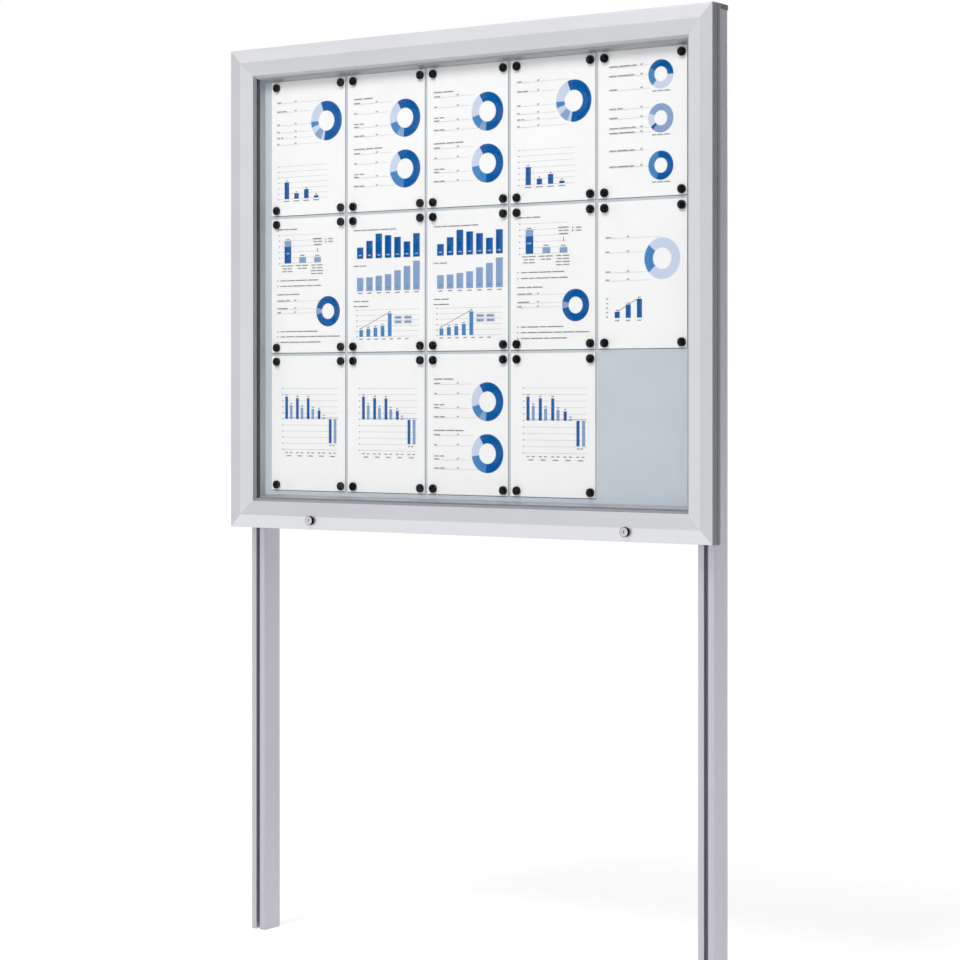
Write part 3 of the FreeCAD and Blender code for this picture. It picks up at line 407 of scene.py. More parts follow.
# Door rails: flat outer band, bevel, and a groove that holds the pane. The outer return is
# painted dark grey like the case, as painted shade on the side. Points are (depth, inward) in mm.
doorRail = {
    "outline": [(1.6, 0), (0.9, 0.6), (0, 28), (8, 58.5), (14.2, 58.5), (14.2, 54),
                (18.6, 54), (18.6, 63), (20.2, 63), (20.2, 0)],
    "softEdge": 0.35 * mm,
}
outwards = {"top": (0, 0, 1), "bottom": (0, 0, -1), "left": (-1, 0, 0), "right": (1, 0, 0)}
lockHole = 8 * mm  # radius, as that of the lock's body behind its head
lockSpots = {}
for side in ("left", "right"):
    centre = middleOf(*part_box(f"lock_body_{side}"))
    lockSpots[side] = (centre[0], centre[2])
for side in railTurns:
    rail = frameRail(f"doorRail{side.title()}", side, 0, doorRail["outline"],
                     doorRail["softEdge"])
    if side == "bottom":
        for lockX, lockZ in lockSpots.values():
            drillHole(rail, lockX, lockZ, lockHole)
    across = side in ("top", "bottom")
    # painted light and shade: the lighter copy of the finish across, the darker copy upright
    rail.data.materials.append(litDoorAcross if across else shadedDoorUpright)
    rail.data.materials.append(darkCoatAndShade)
    rail.data.materials.append(shadedBevelAcross if across else litBevelUpright)
    outward = Vector(outwards[side])
    for face in rail.data.polygons:
        if face.normal.dot(outward) > 0.9:
            # painted shade: the outer return of the silver rail gets the case's dark grey
            face.material_index = 1  # the outer return
        elif face.normal.y < -0.5 and face.normal.dot(outward) < -0.15:
            # the bevel, painted darker across and lighter upright
            face.material_index = 2  # the bevel
    settle(rail, "door", None, "door", f"door_rail_{side}")
print("door rails made")

# Glazing gasket: a sloped bead between bevel and pane, a U in the groove, a bead behind the pane
gasket = {
    "outline": [(14.2, 54.2), (14.2, 58.5), (8.3, 58.5), (14, 64), (14.9, 64), (14.9, 55),
                (17.9, 55), (17.9, 66.5), (20.2, 66.5), (20.2, 63), (18.6, 63), (18.6, 54.2)],
    "rearFrom": 17.5 * mm,
    "softEdge": 0.3 * mm,
}
gasketSides = []
for side in railTurns:
    length = frameRail(f"gasket{side.title()}", side, 0, gasket["outline"], gasket["softEdge"])
    # painted light: the top length gets the paler copy of the grey rubber
    length.data.materials.append(litGreyRubber if side == "top" else greyRubber)
    length.data.materials.append(shadedGreyRubber)
    for face in length.data.polygons:
        if side in ("left", "right") and face.center.y > creaseY + gasket["rearFrom"]:
            # painted shade: the side lengths behind the pane get the darker copy
            face.material_index = 1
    gasketSides.append(length)
settle(joinPieces("glazingGasket", gasketSides), "door", None, "gasket", "glazing_gasket")

# Case rails: outer wall, rounded rear corner, back flange and the rib behind the panel. The wall
# of the top rail is shorter, because the hinge lies in front of it.
caseRail = {"over": 0.6 * mm, "rear": 38, "wall": 2, "flange": 74, "ribFront": 31,
            "ribFrom": 59, "ribTo": 60.5, "softEdge": 0.3 * mm,
            "wallFront": {"top": 31, "right": 20.7, "bottom": 20.7, "left": 20.7},
            "rearRadius": {"top": 6.9, "right": 10, "bottom": 10, "left": 10}}
for side in railTurns:
    wall = caseRail["wall"]
    front = caseRail["wallFront"][side]
    rear = caseRail["rear"]
    inner = rear - wall
    outline = [(front, 0), (rear, 0), (rear, caseRail["flange"]), (inner, caseRail["flange"]),
               (inner, caseRail["ribTo"]), (caseRail["ribFront"], caseRail["ribTo"]),
               (caseRail["ribFront"], caseRail["ribFrom"]), (inner, caseRail["ribFrom"]),
               (inner, wall), (front, wall)]
    radius = caseRail["rearRadius"][side]
    rail = frameRail(f"caseRail{side.title()}", side, -caseRail["over"], outline,
                     caseRail["softEdge"],
                     rounds=[(rear, 0, radius), (inner, wall, radius - wall)])
    settle(rail, "case", darkCoatAndShade, "case", f"case_rail_{side}")
print("case rails made")

# Inner trim: a flat ledge for the door's seal and a slope down to the panel
innerTrim = {"inset": 60 * mm, "softEdge": 0.3 * mm,
             "outline": [(22.5, 0), (22.5, 7.5), (33.4, 13), (33.4, 0)]}
for side in railTurns:
    rail = frameRail(f"innerTrim{side.title()}", side, innerTrim["inset"], innerTrim["outline"],
                     innerTrim["softEdge"])
    settle(rail, "case", trimAcross if side in ("top", "bottom") else trimUpright, "trim",
           f"inner_trim_{side}")
print("inner trim made")

# Posts: a slot along the front, small front corners and large rear corners, and a cap on top
postShape = {"wide": 40, "deep": 60, "mouth": 10, "chamber": 20, "lip": 3, "chamberDeep": 8,
             "frontRadius": 4 * mm, "rearRadius": 14 * mm, "softEdge": 0.3 * mm}
capShape = {"frontRadius": 5 * mm, "rearRadius": 15 * mm, "topRound": 2 * mm}
for side in ("left", "right"):
    low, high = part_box(f"post_{side}")
    postTop = high[2]
    half = postShape["wide"] / 2
    deep = postShape["deep"] / 2
    mouth = postShape["mouth"] / 2
    inside = postShape["chamber"] / 2
    lip = -deep + postShape["lip"]
    chamberBack = lip + postShape["chamberDeep"]
    section = [(-deep, -half), (-deep, -mouth), (lip, -mouth), (lip, -inside),
               (chamberBack, -inside), (chamberBack, inside), (lip, inside), (lip, mouth),
               (-deep, mouth), (-deep, half), (deep, half), (deep, -half)]
    tall = postTop - low[2]
    post = drawExtrusion(f"slottedPost{side.title()}", inMm(section), tall + spareLength)
    roundLongEdges(post, inMm([(-deep, half), (-deep, -half)]), postShape["frontRadius"], 8)
    roundLongEdges(post, inMm([(deep, half), (deep, -half)]), postShape["rearRadius"], 12)
    for end in (-1, 1):
        cutOff((tall / 2 * end, 0, 0), (end, 0, 0))
    turnOutwards()
    endEdit()
    softenEdges(post, postShape["softEdge"])
    smoothByAngle(post)
    post.location = middleOf(low, high)
    post.rotation_euler = (0, math.radians(90), 0)
    settle(post, "case", postMetal, "post", f"post_{side}")

    low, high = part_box(f"post_cap_{side}")
    centre = middleOf((low[0], low[1], postTop), high)
    deselectAll()
    bpy.ops.mesh.primitive_cube_add(size=1, location=centre,
                                    scale=(high[0] - low[0], high[1] - low[1], high[2] - postTop))
    cap = takeActive(f"postCap{side.title()}")
    applyPlace(cap)
    startEdit(cap)
    for front, radius in ((True, capShape["frontRadius"]), (False, capShape["rearRadius"])):
        selectWhere(cap, "edges", lambda middle, edge: (middle.y < centre[1]) == front
                    and abs(edge.verts[0].co.z - edge.verts[1].co.z) > (high[2] - postTop) / 2)
        bpy.ops.mesh.bevel(offset=radius, segments=10, affect="EDGES")
    selectWhere(cap, "faces", lambda middle, face: middle.z > high[2] - hair)
    bpy.ops.mesh.bevel(offset=capShape["topRound"], segments=4, affect="EDGES")
    endEdit()
    smoothByAngle(cap, roundAngle)
    settle(cap, "case", greyPlastic, "cap", f"post_cap_{side}")
print("posts made")

# Places of the A4 sheets, row by row from the upper left. The last place stays empty.
sheetSize = {"wide": 210 * mm, "tall": 297 * mm, "gap": 5 * mm, "thick": 0.3 * mm,
             "rows": 3, "columns": 5, "empty": (2, 4)}
sheetsLow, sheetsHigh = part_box("notice_sheets")
sheetFront = sheetsLow[1]
sheetPlaces = []
for row in range(sheetSize["rows"]):
    for column in range(sheetSize["columns"]):
        if (row, column) != sheetSize["empty"]:
            sheetPlaces.append((sheetsLow[0] + (sheetSize["wide"] + sheetSize["gap"]) * column,
                                sheetsHigh[2] - (sheetSize["tall"] + sheetSize["gap"]) * row))

# Magnets: round, capped in black plastic, with a rounded front rim and a shallow dish. The left
# ones of a sheet stand closer to its middle than the right ones.
magnet = {"radius": 8.9 * mm, "thick": 5.2 * mm, "rim": 0.8 * mm, "dishRim": 2.2 * mm,
          "dish": 0.2 * mm, "fromEdge": 13 * mm, "leftFromEdge": 16 * mm}
deselectAll()
bpy.ops.mesh.primitive_cylinder_add(vertices=40, radius=magnet["radius"], depth=magnet["thick"],
                                    location=(0, 0, 0), rotation=(math.pi / 2, 0, 0))
disc = takeActive("magnetDiscs")
applyPlace(disc)
startEdit(disc)
selectWhere(disc, "faces", lambda middle, face: middle.y < -magnet["thick"] / 2 + hair)
bpy.ops.mesh.bevel(offset=magnet["rim"], segments=4, affect="EDGES")
selectWhere(disc, "faces", lambda middle, face: middle.y < -magnet["thick"] / 2 + hair)
bpy.ops.mesh.inset(thickness=magnet["dishRim"])
bpy.ops.transform.translate(value=(0, magnet["dish"], 0))
endEdit()
smoothByAngle(disc, roundAngle)
copies = []
for left, top in sheetPlaces:
    for across in (magnet["leftFromEdge"], sheetSize["wide"] - magnet["fromEdge"]):
        for down in (magnet["fromEdge"], sheetSize["tall"] - magnet["fromEdge"]):
            place = (left + across, sheetFront - magnet["thick"] / 2, top - down)
            copies.append(addCopy(disc, place))
bpy.data.objects.remove(disc)
settle(joinPieces("magnetDiscs", copies), "case", magnetBlack, "magnet", "magnets")
print("magnets made")

# Sheets of paper, flat on the panel
deselectAll()
bpy.ops.mesh.primitive_cube_add(size=1, location=(0, 0, 0))
sheet = takeActive("noticeSheets")
sheet.scale = (sheetSize["wide"], sheetSize["thick"], sheetSize["tall"])
applyPlace(sheet)
copies = []
for left, top in sheetPlaces:
    place = (left + sheetSize["wide"] / 2, sheetFront + sheetSize["thick"] / 2,
             top - sheetSize["tall"] / 2)
    copies.append(addCopy(sheet, place))
bpy.data.objects.remove(sheet)
settle(joinPieces("noticeSheets", copies), "case", paper, "paper", "notice_sheets")


# Printed charts, generic ones. Places and sizes on a sheet are in mm from its upper left corner,
# x to the right and y down. Rules lie on level 0, bars and rings on 1, word strokes on 2.
printShape = {"gap": 0.08 * mm, "thick": 0.06 * mm, "levelStep": 0.04 * mm}
wordShape = {"pitch": 1.9, "strokeShare": 0.68, "space": 2.4, "tall": 2.1,
             "rises": (1, 1, 1.3, 1, 1.3)}  # heights of a word's strokes, over and over
ruleShape = {"strong": 0.55, "fine": 0.45}
labelShape = {"numberWide": 6, "numberUp": 0.8, "ruleDown": 2.8, "ruleOver": 2,
              "leadDown": 2.4, "leadGap": 4}
gridShape = {"numberWide": 3.6, "numberLeft": 6, "numberUp": 0.8}
# the fine edge line, and the strong strip on the right and below that is painted shadow
borderAndShadowShape = {"fine": 0.2, "strong": 1.4}


def startPrint():
    # an empty mesh in edit mode, with every ink
    deselectAll()
    bpy.ops.mesh.primitive_plane_add(size=mm, location=(0, 0, 0))
    piece = takeActive("chart")
    for key in inkOrder:
        piece.data.materials.append(inks[key])
    startEdit(piece)
    bpy.ops.mesh.delete(type="VERT")
    return piece


def printBar(piece, x, y, wide, tall, ink, level=1, turn=0):
    # a filled box, x and y of its upper left corner
    place = ((x + wide / 2) * mm, -printShape["levelStep"] * level, -(y + tall / 2) * mm)
    bpy.ops.mesh.primitive_plane_add(size=mm, location=place, rotation=(math.pi / 2, 0, 0))
    bpy.ops.transform.resize(value=(wide, 1, tall), center_override=place)
    if turn:
        bpy.ops.transform.rotate(value=turn, orient_axis="Y", center_override=place)
    piece.active_material_index = inkOrder.index(ink)
    bpy.ops.object.material_slot_assign()


def printLine(piece, x, y, toX, toY, thick):
    # a thin slanting line from one place to another
    long = math.hypot(toX - x, toY - y)
    printBar(piece, (x + toX - long) / 2, (y + toY - thick) / 2, long, thick, "text", 2,
             math.atan2(y - toY, toX - x))


def printRing(piece, x, y, outer, inner, start, parts):
    # a ring chart about x, y: parts are (ink, share of the turn), clockwise from start
    place = (x * mm, -printShape["levelStep"], -y * mm)
    bpy.ops.mesh.primitive_circle_add(vertices=120, radius=outer * mm, fill_type="NGON",
                                      location=place, rotation=(math.pi / 2, 0, 0))
    bpy.ops.mesh.inset(thickness=(outer - inner) * mm)
    bpy.ops.mesh.delete(type="FACE")
    shape = bmesh.from_edit_mesh(piece.data)
    for face in shape.faces:
        away = face.calc_center_median() - Vector(place)
        if away.length > outer * mm:
            continue
        turn = (math.atan2(away.x, away.z) / (2 * math.pi) - start) % 1
        total = 0
        for ink, share in parts:
            total += share
            if turn <= total + 1e-6:
                break
        face.material_index = inkOrder.index(ink)
    bmesh.update_edit_mesh(piece.data)


def printWords(piece, x, y, widths, ink="text", tall=wordShape["tall"]):
    # a line of words as rows of plain strokes, with no letter drawn
    for wide in widths:
        strokes = max(2, round(wide / wordShape["pitch"]))
        step = wide / strokes
        for index in range(strokes):
            high = tall * wordShape["rises"][index % len(wordShape["rises"])]
            printBar(piece, x + step * index, y + tall - high, step * wordShape["strokeShare"],
                     high, ink, 2)
        x += wide + wordShape["space"]


def printLabel(piece, x, y, widths, numberX, reach):
    # words and a short number over a rule, and a finer rule that leads on to a ring
    numberEnd = numberX + labelShape["numberWide"]
    leadX = numberEnd + labelShape["leadGap"]
    printWords(piece, x, y, widths)
    printWords(piece, numberX, y - labelShape["numberUp"], (labelShape["numberWide"],))
    printBar(piece, x, y + labelShape["ruleDown"], numberEnd + labelShape["ruleOver"] - x,
             ruleShape["strong"], "grey", 0)
    printBar(piece, leadX, y + labelShape["leadDown"], reach - leadX, ruleShape["fine"],
             "grey", 0)


def printLabels(piece, x, numberX, labels):
    # labels are (y, widths of the words, x where the rule ends)
    for y, widths, reach in labels:
        printLabel(piece, x, y, widths, numberX, reach)


def printGrid(piece, x, y, wide, step, count):
    # rules for a bar chart, each with a short number before it
    for index in range(count):
        ruleY = y + step * index
        printBar(piece, x, ruleY, wide, ruleShape["fine"], "grey", 0)
        printWords(piece, x - gridShape["numberLeft"], ruleY - gridShape["numberUp"],
                   (gridShape["numberWide"],))


def printBars(piece, x, base, step, wide, talls, ink, numberWide, numberUp=4):
    # a row of bars on one base, each with a short number over its middle
    for index, tall in enumerate(talls):
        barX = x + step * index
        printBar(piece, barX, base - tall, wide, tall, ink)
        printWords(piece, barX + (wide - numberWide) / 2, base - tall - numberUp, (numberWide,))


def printRow(piece, x, y, step, wide, count):
    # a row of single words
    for index in range(count):
        printWords(piece, x + step * index, y, (wide,))


def printBorderAndShadow(piece):
    # the sheet's edge as a thin grey line, with painted shadow: the strips on the right and below
    # are stronger, as the sheet's shadow on the panel
    wide = sheetSize["wide"] / mm
    tall = sheetSize["tall"] / mm
    fine = borderAndShadowShape["fine"]
    strong = borderAndShadowShape["strong"]
    printBar(piece, 0, 0, wide, fine, "edge", 0)
    printBar(piece, 0, tall - strong, wide, strong, "edge", 0)
    printBar(piece, 0, fine, fine, tall - fine - strong, "edge", 0)
    printBar(piece, wide - strong, fine, strong, tall - fine - strong, "edge", 0)


def ringAndBars(piece):
    printLabels(piece, 16, 66, (
        (45, (13,), 146), (65, (12, 13), 113), (94, (9,), 112), (110, (8,), 114),
        (123, (9, 7), 120), (137, (7,), 142)))
    printRing(piece, 156, 93, 43, 22, -0.056, (
        ("dark", 0.578), ("pale", 0.035), ("light", 0.085), ("pale", 0.055), ("mid", 0.055),
        ("pale", 0.192)))
    barStep = 27.7
    printGrid(piece, 25, 187, 134, 12, 7)
    printBars(piece, 37.5, 259, barStep, 13, (37, 12, 20, 5), "dark", 5)
    printRow(piece, 35.5, 263, barStep, 17, 4)


def twoRings(piece):
    # a heading, labels below it and a ring beside them, twice
    halves = (
        (52, (22, 26), (("dark", 0.603), ("light", 0.07), ("mid", 0.117), ("pale", 0.21))),
        (160, (30, 20, 22), (("dark", 0.603), ("mid", 0.208), ("pale", 0.189))))
    for top, heading, parts in halves:
        printWords(piece, 18, top, heading, tall=2.3)
        printLabels(piece, 18, 77, (
            (top + 9, (16,), 122), (top + 30.5, (8,), 112), (top + 60, (14,), 113),
            (top + 79.5, (12, 14), 136)))
        printWords(piece, 18, top + 54, (12, 13))
        printRing(piece, 156, top + 48.5, 40.5, 21.5, -0.083, parts)


def threeRings(piece):
    # each ring's middle, its labels with their words, where its first part starts, and its parts
    rings = (
        (54, ((31, (20, 28, 12)), (50, (18, 38)), (77.5, (19,))), -0.165,
         (("dark", 0.42), ("pale", 0.36), ("mid", 0.22))),
        (141, ((116, (16, 14)), (134.5, (20,)), (155, (22, 24, 12)), (164.5, (20, 38))), -0.19,
         (("light", 0.8), ("dark", 0.036), ("pale", 0.164))),
        (235, ((200, (16, 26, 14)), (232, (18, 24, 12))), -0.04,
         (("dark", 0.6), ("mid", 0.4))))
    for centre, labels, start, parts in rings:
        printLabels(piece, 27, 100, [(y, widths, 122) for y, widths in labels])
        printRing(piece, 148, centre, 29, 15, start, parts)
        printWords(piece, 128, centre + 32, (9, 14, 14))


def printBullets(piece, lines):
    # lines of text, each with a square bullet: lines are (y, widths of the words)
    for y, widths in lines:
        printBar(piece, 17, y - 0.4, 2.4, 2.4, "dark")
        printWords(piece, 26, y, widths)


def stackedAndRing(piece):
    # bars on a grid, the first one stacked, with its key and captions
    printWords(piece, 19, 23, (16, 14, 20), tall=2.2)
    printGrid(piece, 27, 36.5, 112, 12.4, 6)
    base = 98.5
    barWide = 19
    for x, tall in ((79.5, 12.6), (121.5, 11)):
        printBar(piece, x, base - tall, barWide, tall, "light")
        printWords(piece, x + 3, base - tall - 4.5, (12,))
    printBar(piece, 37.5, base - 49, barWide, 13, "light")
    printBar(piece, 37.5, base - 36, barWide, 36, "dark")
    printWords(piece, 41, 45.5, (12,))
    printWords(piece, 42, 76, (10,), "pale")
    printWords(piece, 118, 46, (26,))
    printWords(piece, 119, 52.5, (10, 13))
    printWords(piece, 121, 59, (22,))
    printBar(piece, 130.6, 67, 1.4, 9, "text", 2)
    for y, ink in ((47, "light"), (53, "dark")):
        printBar(piece, 152, y, 3, 3, ink)
        printWords(piece, 161, y + 0.4, (14,))
    captionWide = 36
    for x, rows in ((28, (36, 26, 30)), (70, (36, 26)), (112, (33, 30, 36, 34))):
        for index, wide in enumerate(rows):
            printWords(piece, x + (captionWide - wide) / 2, 103.5 + 6.2 * index,
                       (wide * 0.4, wide * 0.5))
    printBullets(piece, ((136, (16, 24, 30, 30)), (148, (18, 12, 36, 18, 22))))
    # a ring with its labels, and more lines of text
    printWords(piece, 17, 166.5, (20, 12, 26), tall=2.2)
    printLabels(piece, 17, 65, ((180, (20, 14), 136), (197, (30,), 126), (206, (11,), 126)))
    printRing(piece, 160.5, 206, 33, 17, -0.211, (("dark", 0.93), ("light", 0.07)))
    printBullets(piece, ((248, (12, 30, 16, 40)), (259.5, (14, 24, 36, 20, 28, 34)),
                         (271.5, (22, 30, 14, 40))))


def barRows(piece):
    # two rows of bars, dark above light
    printWords(piece, 17, 33, (20, 14, 30, 24, 18))
    darkBase = 95
    lightBase = 165
    barWide = 17.5
    darkTalls = (24.4, 38, 52.7, 48.3, 43.8, 33.3, 50)
    lightTalls = (29, 29.6, 32.4, 35, 42.6, 51, 61.6)
    for index, (darkTall, lightTall) in enumerate(zip(darkTalls, lightTalls)):
        x = 25.8 + 25.3 * index
        printBar(piece, x, darkBase - darkTall, barWide, darkTall, "dark")
        printWords(piece, x + 5, darkBase - 8, (8,), "pale")
        printBar(piece, x, lightBase - lightTall, barWide, lightTall, "light")
        printWords(piece, x + 4, lightBase - 8, (9,), "mid")
        printWords(piece, x + 3, lightBase + 3.5, (12,))
    for y, widths in ((110, (14, 18)), (186, (18, 20)), (197, (10, 28))):
        printWords(piece, 17, y, widths)
    # a smaller chart on a grid, with a trend line and four boxes beside it
    printGrid(piece, 30, 205.5, 164, 11.5, 6)
    printBars(piece, 32.2, 263, 19.4, 10, (14.8, 17, 19.3, 23.3, 49.3), "mid", 6)
    printRow(piece, 32.5, 267.5, 20.6, 9, 7)
    printLine(piece, 37, 245, 112, 212, 0.9)
    for x in (127, 153):
        for y in (219.5, 229):
            printBar(piece, x, y, 21.5, 7.5, "pale")
            printWords(piece, x + 2, y + 2.2, (17,), tall=3)


def paleRingAndBars(piece):
    printLabels(piece, 18, 68, (
        (71.5, (13,), 146), (100.5, (9,), 110), (140.5, (12,), 119), (157, (9,), 122)))
    printRing(piece, 151, 117.5, 41.3, 21.5, -0.133, (("pale", 0.764), ("mid", 0.236)))
    # bars with a scale on their left, and a trend line
    barStep = 26.2
    for index in range(5):
        printWords(piece, 19, 195 + 9 * index, (5,))
    printBars(piece, 39.5, 234.3, barStep, 12, (12.8, 26.8, 37.7), "dark", 6, 3.8)
    printRow(piece, 40.5, 238.5, barStep, 10, 3)
    printLine(piece, 47, 221, 92, 197, 1.1)


def pairedBars(piece):
    # pairs of bars that stand on a line, and a last pair that hangs from it
    base = 138.8
    barWide = 7.5
    pairStep = 30.6
    printGrid(piece, 37, 72, 151, 13.35, 11)
    printBar(piece, 37, base - 3.2, 151, 0.9, "mid", 0)
    for x, talls, ink in ((39.7, (49, 45.8, 45.3, 19), "dark"),
                          (52.7, (30, 24.4, 22, 3.5), "light")):
        for index, tall in enumerate(talls):
            barX = x + pairStep * index
            printBar(piece, barX, base - tall, barWide, tall, ink)
            printWords(piece, barX + 1, base - tall - 4.8, (6,))
    for x, ink in ((162.7, "dark"), (176.2, "light")):
        printBar(piece, x, base + 0.2, barWide, 52, ink)
    printWords(piece, 164, 195, (6, 6))
    for x, y, wide in ((40, 212, 7), (53, 212, 7), (44, 219, 13)):
        printRow(piece, x, y, pairStep, wide, 5)


# Which sheets have which chart, counted as their places are
chartPlaces = {ringAndBars: (0, 3), twoRings: (1, 2, 12), threeRings: (4,),
               stackedAndRing: (5, 8), barRows: (6, 7), paleRingAndBars: (9,),
               pairedBars: (10, 11, 13)}
copies = []
for drawChart, places in chartPlaces.items():
    chart = startPrint()
    printBorderAndShadow(chart)
    drawChart(chart)
    turnOutwards()
    endEdit()
    for index in places:
        left, top = sheetPlaces[index]
        copies.append(addCopy(chart, (left, sheetFront - printShape["gap"], top)))
    bpy.data.objects.remove(chart)
charts = joinPieces("printedCharts", copies)
applyModifier(charts, "SOLIDIFY", thickness=printShape["thick"], offset=0)
settle(charts, "case", None, "paper")
print("sheets and charts made")

# Locks: a black housing with a bright face, and the turning plug with its key slot
lockShape = {"head": 10 * mm, "proud": 7 * mm, "faceThick": 0.5 * mm, "edge": 0.8 * mm,
             "rim": 0.2 * mm, "plug": 5.5 * mm, "plugRim": 0.4 * mm, "plugGap": 0.05 * mm,
             "slotLong": 5.2 * mm, "slotWide": 2.4 * mm, "slotDeep": 7 * mm}
for side, (lockX, lockZ) in lockSpots.items():
    low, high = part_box(f"lock_body_{side}")
    frontY = low[1]
    rearY = high[1]
    edgeY = frontY + lockShape["faceThick"]
    headRearY = frontY + lockShape["proud"]
    deselectAll()
    bpy.ops.mesh.primitive_cylinder_add(
        vertices=64, radius=lockShape["head"], depth=headRearY - edgeY,
        location=(lockX, (edgeY + headRearY) / 2, lockZ), rotation=(math.pi / 2, 0, 0))
    head = takeActive(f"lockHousing{side.title()}")
    applyPlace(head)
    startEdit(head)
    selectWhere(head, "faces", lambda middle, face: middle.y > headRearY - hair)
    bpy.ops.mesh.inset(thickness=lockShape["head"] - lockHole)
    bpy.ops.mesh.extrude_region_move(TRANSFORM_OT_translate={"value": (0, rearY - headRearY, 0)})
    selectWhere(head, "faces", lambda middle, face: middle.y < edgeY + hair)
    bpy.ops.mesh.inset(thickness=lockShape["edge"])
    bpy.ops.mesh.extrude_region_move(
        TRANSFORM_OT_translate={"value": (0, -lockShape["faceThick"], 0)})
    selectWhere(head, "faces", lambda middle, face: middle.y < frontY + hair)
    bpy.ops.mesh.bevel(offset=lockShape["rim"], segments=2, affect="EDGES")
    endEdit()
    drillHole(head, lockX, lockZ, lockShape["plug"] + lockShape["plugGap"])
    head.data.materials.append(blackPlastic)
    head.data.materials.append(nickel)
    for face in head.data.polygons:
        if face.center.y < edgeY - 5 * hair:
            face.material_index = 1  # the bright face
    smoothByAngle(head, roundAngle)
    settle(head, "door", None, "lock", f"lock_body_{side}")

    low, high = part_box(f"lock_plug_{side}")
    frontY = low[1]
    rearY = high[1]
    deselectAll()
    bpy.ops.mesh.primitive_cylinder_add(
        vertices=48, radius=lockShape["plug"], depth=rearY - frontY,
        location=(lockX, (frontY + rearY) / 2, lockZ), rotation=(math.pi / 2, 0, 0))
    plug = takeActive(f"lockPlug{side.title()}")
    applyPlace(plug)
    startEdit(plug)
    selectWhere(plug, "faces", lambda middle, face: middle.y < frontY + hair)
    bpy.ops.mesh.bevel(offset=lockShape["plugRim"], segments=2, affect="EDGES")
    endEdit()
    deselectAll()
    bpy.ops.mesh.primitive_cube_add(size=1, location=(lockX, frontY, lockZ),
                                    scale=(lockShape["slotWide"], lockShape["slotDeep"] * 2,
                                           lockShape["slotLong"]))
    cutOut(plug, takeActive("keySlot"))
    smoothByAngle(plug, roundAngle)
    settle(plug, f"lock_{side}", nickel, "lock", f"lock_plug_{side}")
print("locks made")

# CAD nodes that keep their own mesh get their finish
finishes = {
    "case_corner_plates": zincPlate, "magnetic_panel": panelCoat, "backing_board": backCoat,
    "door_seal": rubber, "hinge_leaf_case": fittingMetal, "hinge_leaf_door": fittingMetal,
    "hinge_rod": zincPlate, "lock_keepers": zincPlate, "mounting_bolts": zincPlate,
    "mounting_washers": zincPlate, "mounting_spacers": blackPlastic, "slot_nuts": zincPlate,
    "door_corner_cleats": castMetal, "glazing": glass,
}
for side in ("left", "right"):
    finishes.update({
        f"stay_bracket_{side}": zincPlate, f"stay_pivot_{side}": zincPlate,
        f"stay_arm_{side}": zincPlate, f"stay_slider_{side}": blackPlastic,
        f"stay_track_{side}": fittingMetal, f"lock_nut_{side}": nickel,
        f"lock_cam_{side}": zincPlate, f"cam_screw_{side}": zincPlate,
    })
for node, material in finishes.items():
    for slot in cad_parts[node].material_slots:
        slot.material = material
print("finishes given")

# Stage: a white floor that keeps the shadow, a white surround and soft lamps
floorLook = {"size": 60, "colour": "#F4F4F4", "glow": 1.17,
             "near": 2.0, "nearGlow": 0.6, "far": 6.0, "farGlow": 0.82}
deselectAll()
bpy.ops.mesh.primitive_plane_add(size=floorLook["size"], location=(0, 0, 0))
floor = takeActive("floor")
floorMaterial = bpy.data.materials.new("floorWhite")
floorMaterial.use_nodes = True
floorTree = floorMaterial.node_tree
floorTree.nodes.clear()
floorMatte = addNode(floorTree, "BsdfDiffuse", {"Color": linear(floorLook["colour"])})
floorGlow = addNode(floorTree, "Emission",
                    {"Color": (1, 1, 1, 1), "Strength": floorLook["glow"]})
floorPath = addNode(floorTree, "LightPath")
floorSeen = addNode(floorTree, "Math", {"operation": "ADD", "use_clamp": True},
                    {0: floorPath.outputs["Is Camera Ray"], 1: floorPath.outputs["Is Glossy Ray"]})
# The white glows less near the object, so that the shadow stays, and more towards the horizon
floorPlace = addNode(floorTree, "TexCoord")
floorReach = addNode(floorTree, "VectorMath", {"operation": "LENGTH"},
                     {0: floorPlace.outputs["Object"]})
floorGlowShare = addNode(
    floorTree, "MapRange",
    {"From Min": floorLook["near"], "From Max": floorLook["far"],
     "To Min": floorLook["nearGlow"], "To Max": floorLook["farGlow"]},
    {"Value": floorReach.outputs["Value"]})
floorShare = addNode(floorTree, "Math", {"operation": "MULTIPLY"},
                     {0: floorSeen.outputs[0], 1: floorGlowShare.outputs["Result"]})
floorMix = addNode(floorTree, "MixShader", {}, {0: floorShare.outputs[0],
                                                1: floorMatte.outputs[0],
                                                2: floorGlow.outputs[0]})
addNode(floorTree, "OutputMaterial", {}, {"Surface": floorMix.outputs[0]})
floor.data.materials.append(floorMaterial)

# A shade is where along its axis it starts and ends, and how much of the white it takes
worldLook = {"colour": "#F2F4F7", "strength": 0.53,
             "rightShade": (0.1, 0.6, 0.55), "upperShade": (0.15, 0.55, 0.3)}
world = bpy.data.worlds.new("studioWorld")
bpy.context.scene.world = world
world.use_nodes = True
worldTree = world.node_tree
worldTree.nodes.clear()
surround = addNode(worldTree, "Background", {"Color": linear(worldLook["colour"]),
                                             "Strength": worldLook["strength"]})
backdrop = addNode(worldTree, "Background", {"Color": (1, 1, 1, 1), "Strength": 1.0})
path = addNode(worldTree, "LightPath")
seenOrGlossy = addNode(worldTree, "Math", {"operation": "ADD", "use_clamp": True},
                       {0: path.outputs["Is Camera Ray"], 1: path.outputs["Is Glossy Ray"]})
seen = addNode(worldTree, "Math", {"operation": "ADD", "use_clamp": True},
               {0: seenOrGlossy.outputs[0], 1: path.outputs["Is Transmission Ray"]})
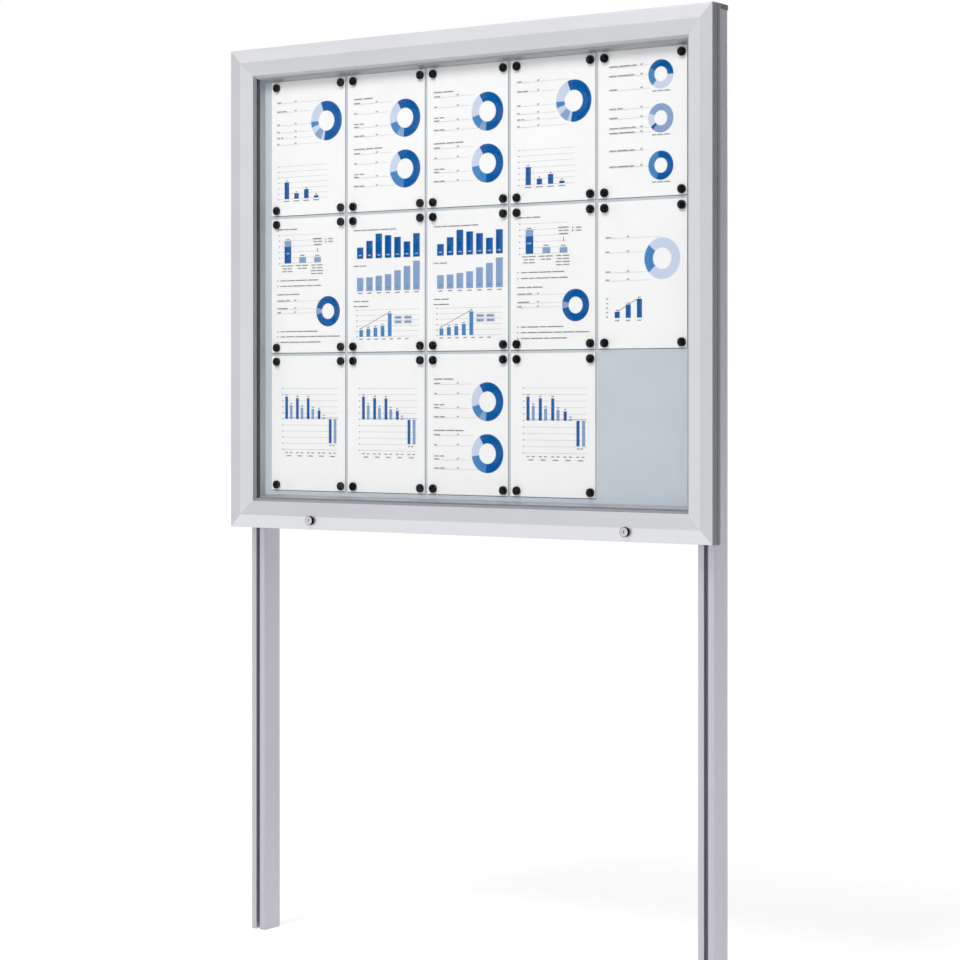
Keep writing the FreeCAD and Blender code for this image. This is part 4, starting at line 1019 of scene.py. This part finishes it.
# Metal sees a greyer studio on the right and above, as in the photograph
where = addNode(worldTree, "TexCoord")
direction = addNode(worldTree, "SeparateXYZ", {}, {"Vector": where.outputs["Generated"]})
shades = []
for axis, (low, high, most) in (("X", worldLook["rightShade"]), ("Z", worldLook["upperShade"])):
    shade = addNode(worldTree, "MapRange",
                    {"From Min": low, "From Max": high, "To Min": 0.0, "To Max": most},
                    {"Value": direction.outputs[axis]})
    shades.append(shade.outputs["Result"])
bothShades = addNode(worldTree, "Math", {"operation": "ADD"}, {0: shades[0], 1: shades[1]})
shadeSeen = addNode(worldTree, "Math", {"operation": "MULTIPLY"},
                    {0: bothShades.outputs[0], 1: path.outputs["Is Glossy Ray"]})
brightness = addNode(worldTree, "Math", {"operation": "SUBTRACT", 0: 1.0},
                     {1: shadeSeen.outputs[0]})
worldTree.links.new(brightness.outputs[0], backdrop.inputs["Strength"])
worldMix = addNode(worldTree, "MixShader", {}, {0: seen.outputs[0], 1: surround.outputs[0],
                                                2: backdrop.outputs[0]})
addNode(worldTree, "OutputWorld", {}, {"Surface": worldMix.outputs[0]})

lamps = {
    "key": {"place": (-0.6, -4.6, 7.6), "size": 2.4, "power": 405, "colour": "#FFFFFF"},
    "rear": {"place": (-1.4, 5.6, 4.2), "size": 3.0, "power": 150, "colour": "#FFFFFF"},
}
lampAim = (0, 0, 1.3)
for lampName, lamp in lamps.items():
    light = bpy.data.lights.new(lampName, "AREA")
    light.shape = "SQUARE"
    light.size = lamp["size"]
    light.energy = lamp["power"]
    light.color = linear(lamp["colour"])[:3]
    lampObject = bpy.data.objects.new(lampName, light)
    bpy.context.scene.collection.objects.link(lampObject)
    lampObject.location = lamp["place"]
    toward = Vector(lampAim) - lampObject.location
    lampObject.rotation_euler = toward.to_track_quat("-Z", "Y").to_euler()

# Camera at the photograph's angle: level, from the right, with the horizon above the middle
view = {"place": (3.1371, creaseY - 4.2946, 1.1857), "yaw": 35.589, "lens": 95.80,
        "sensor": 36, "shiftY": -0.0868, "clipEnd": 200}
camera = bpy.data.cameras.new("camera")
camera.lens = view["lens"]
camera.sensor_width = view["sensor"]
camera.sensor_fit = "HORIZONTAL"
camera.shift_y = view["shiftY"]
camera.clip_end = view["clipEnd"]
cameraObject = bpy.data.objects.new("camera", camera)
bpy.context.scene.collection.objects.link(cameraObject)
cameraObject.location = view["place"]
cameraObject.rotation_euler = (math.pi / 2, 0, math.radians(view["yaw"]))
bpy.context.scene.camera = cameraObject
bpy.context.scene.view_settings.view_transform = "Standard"
print("stage and camera set")
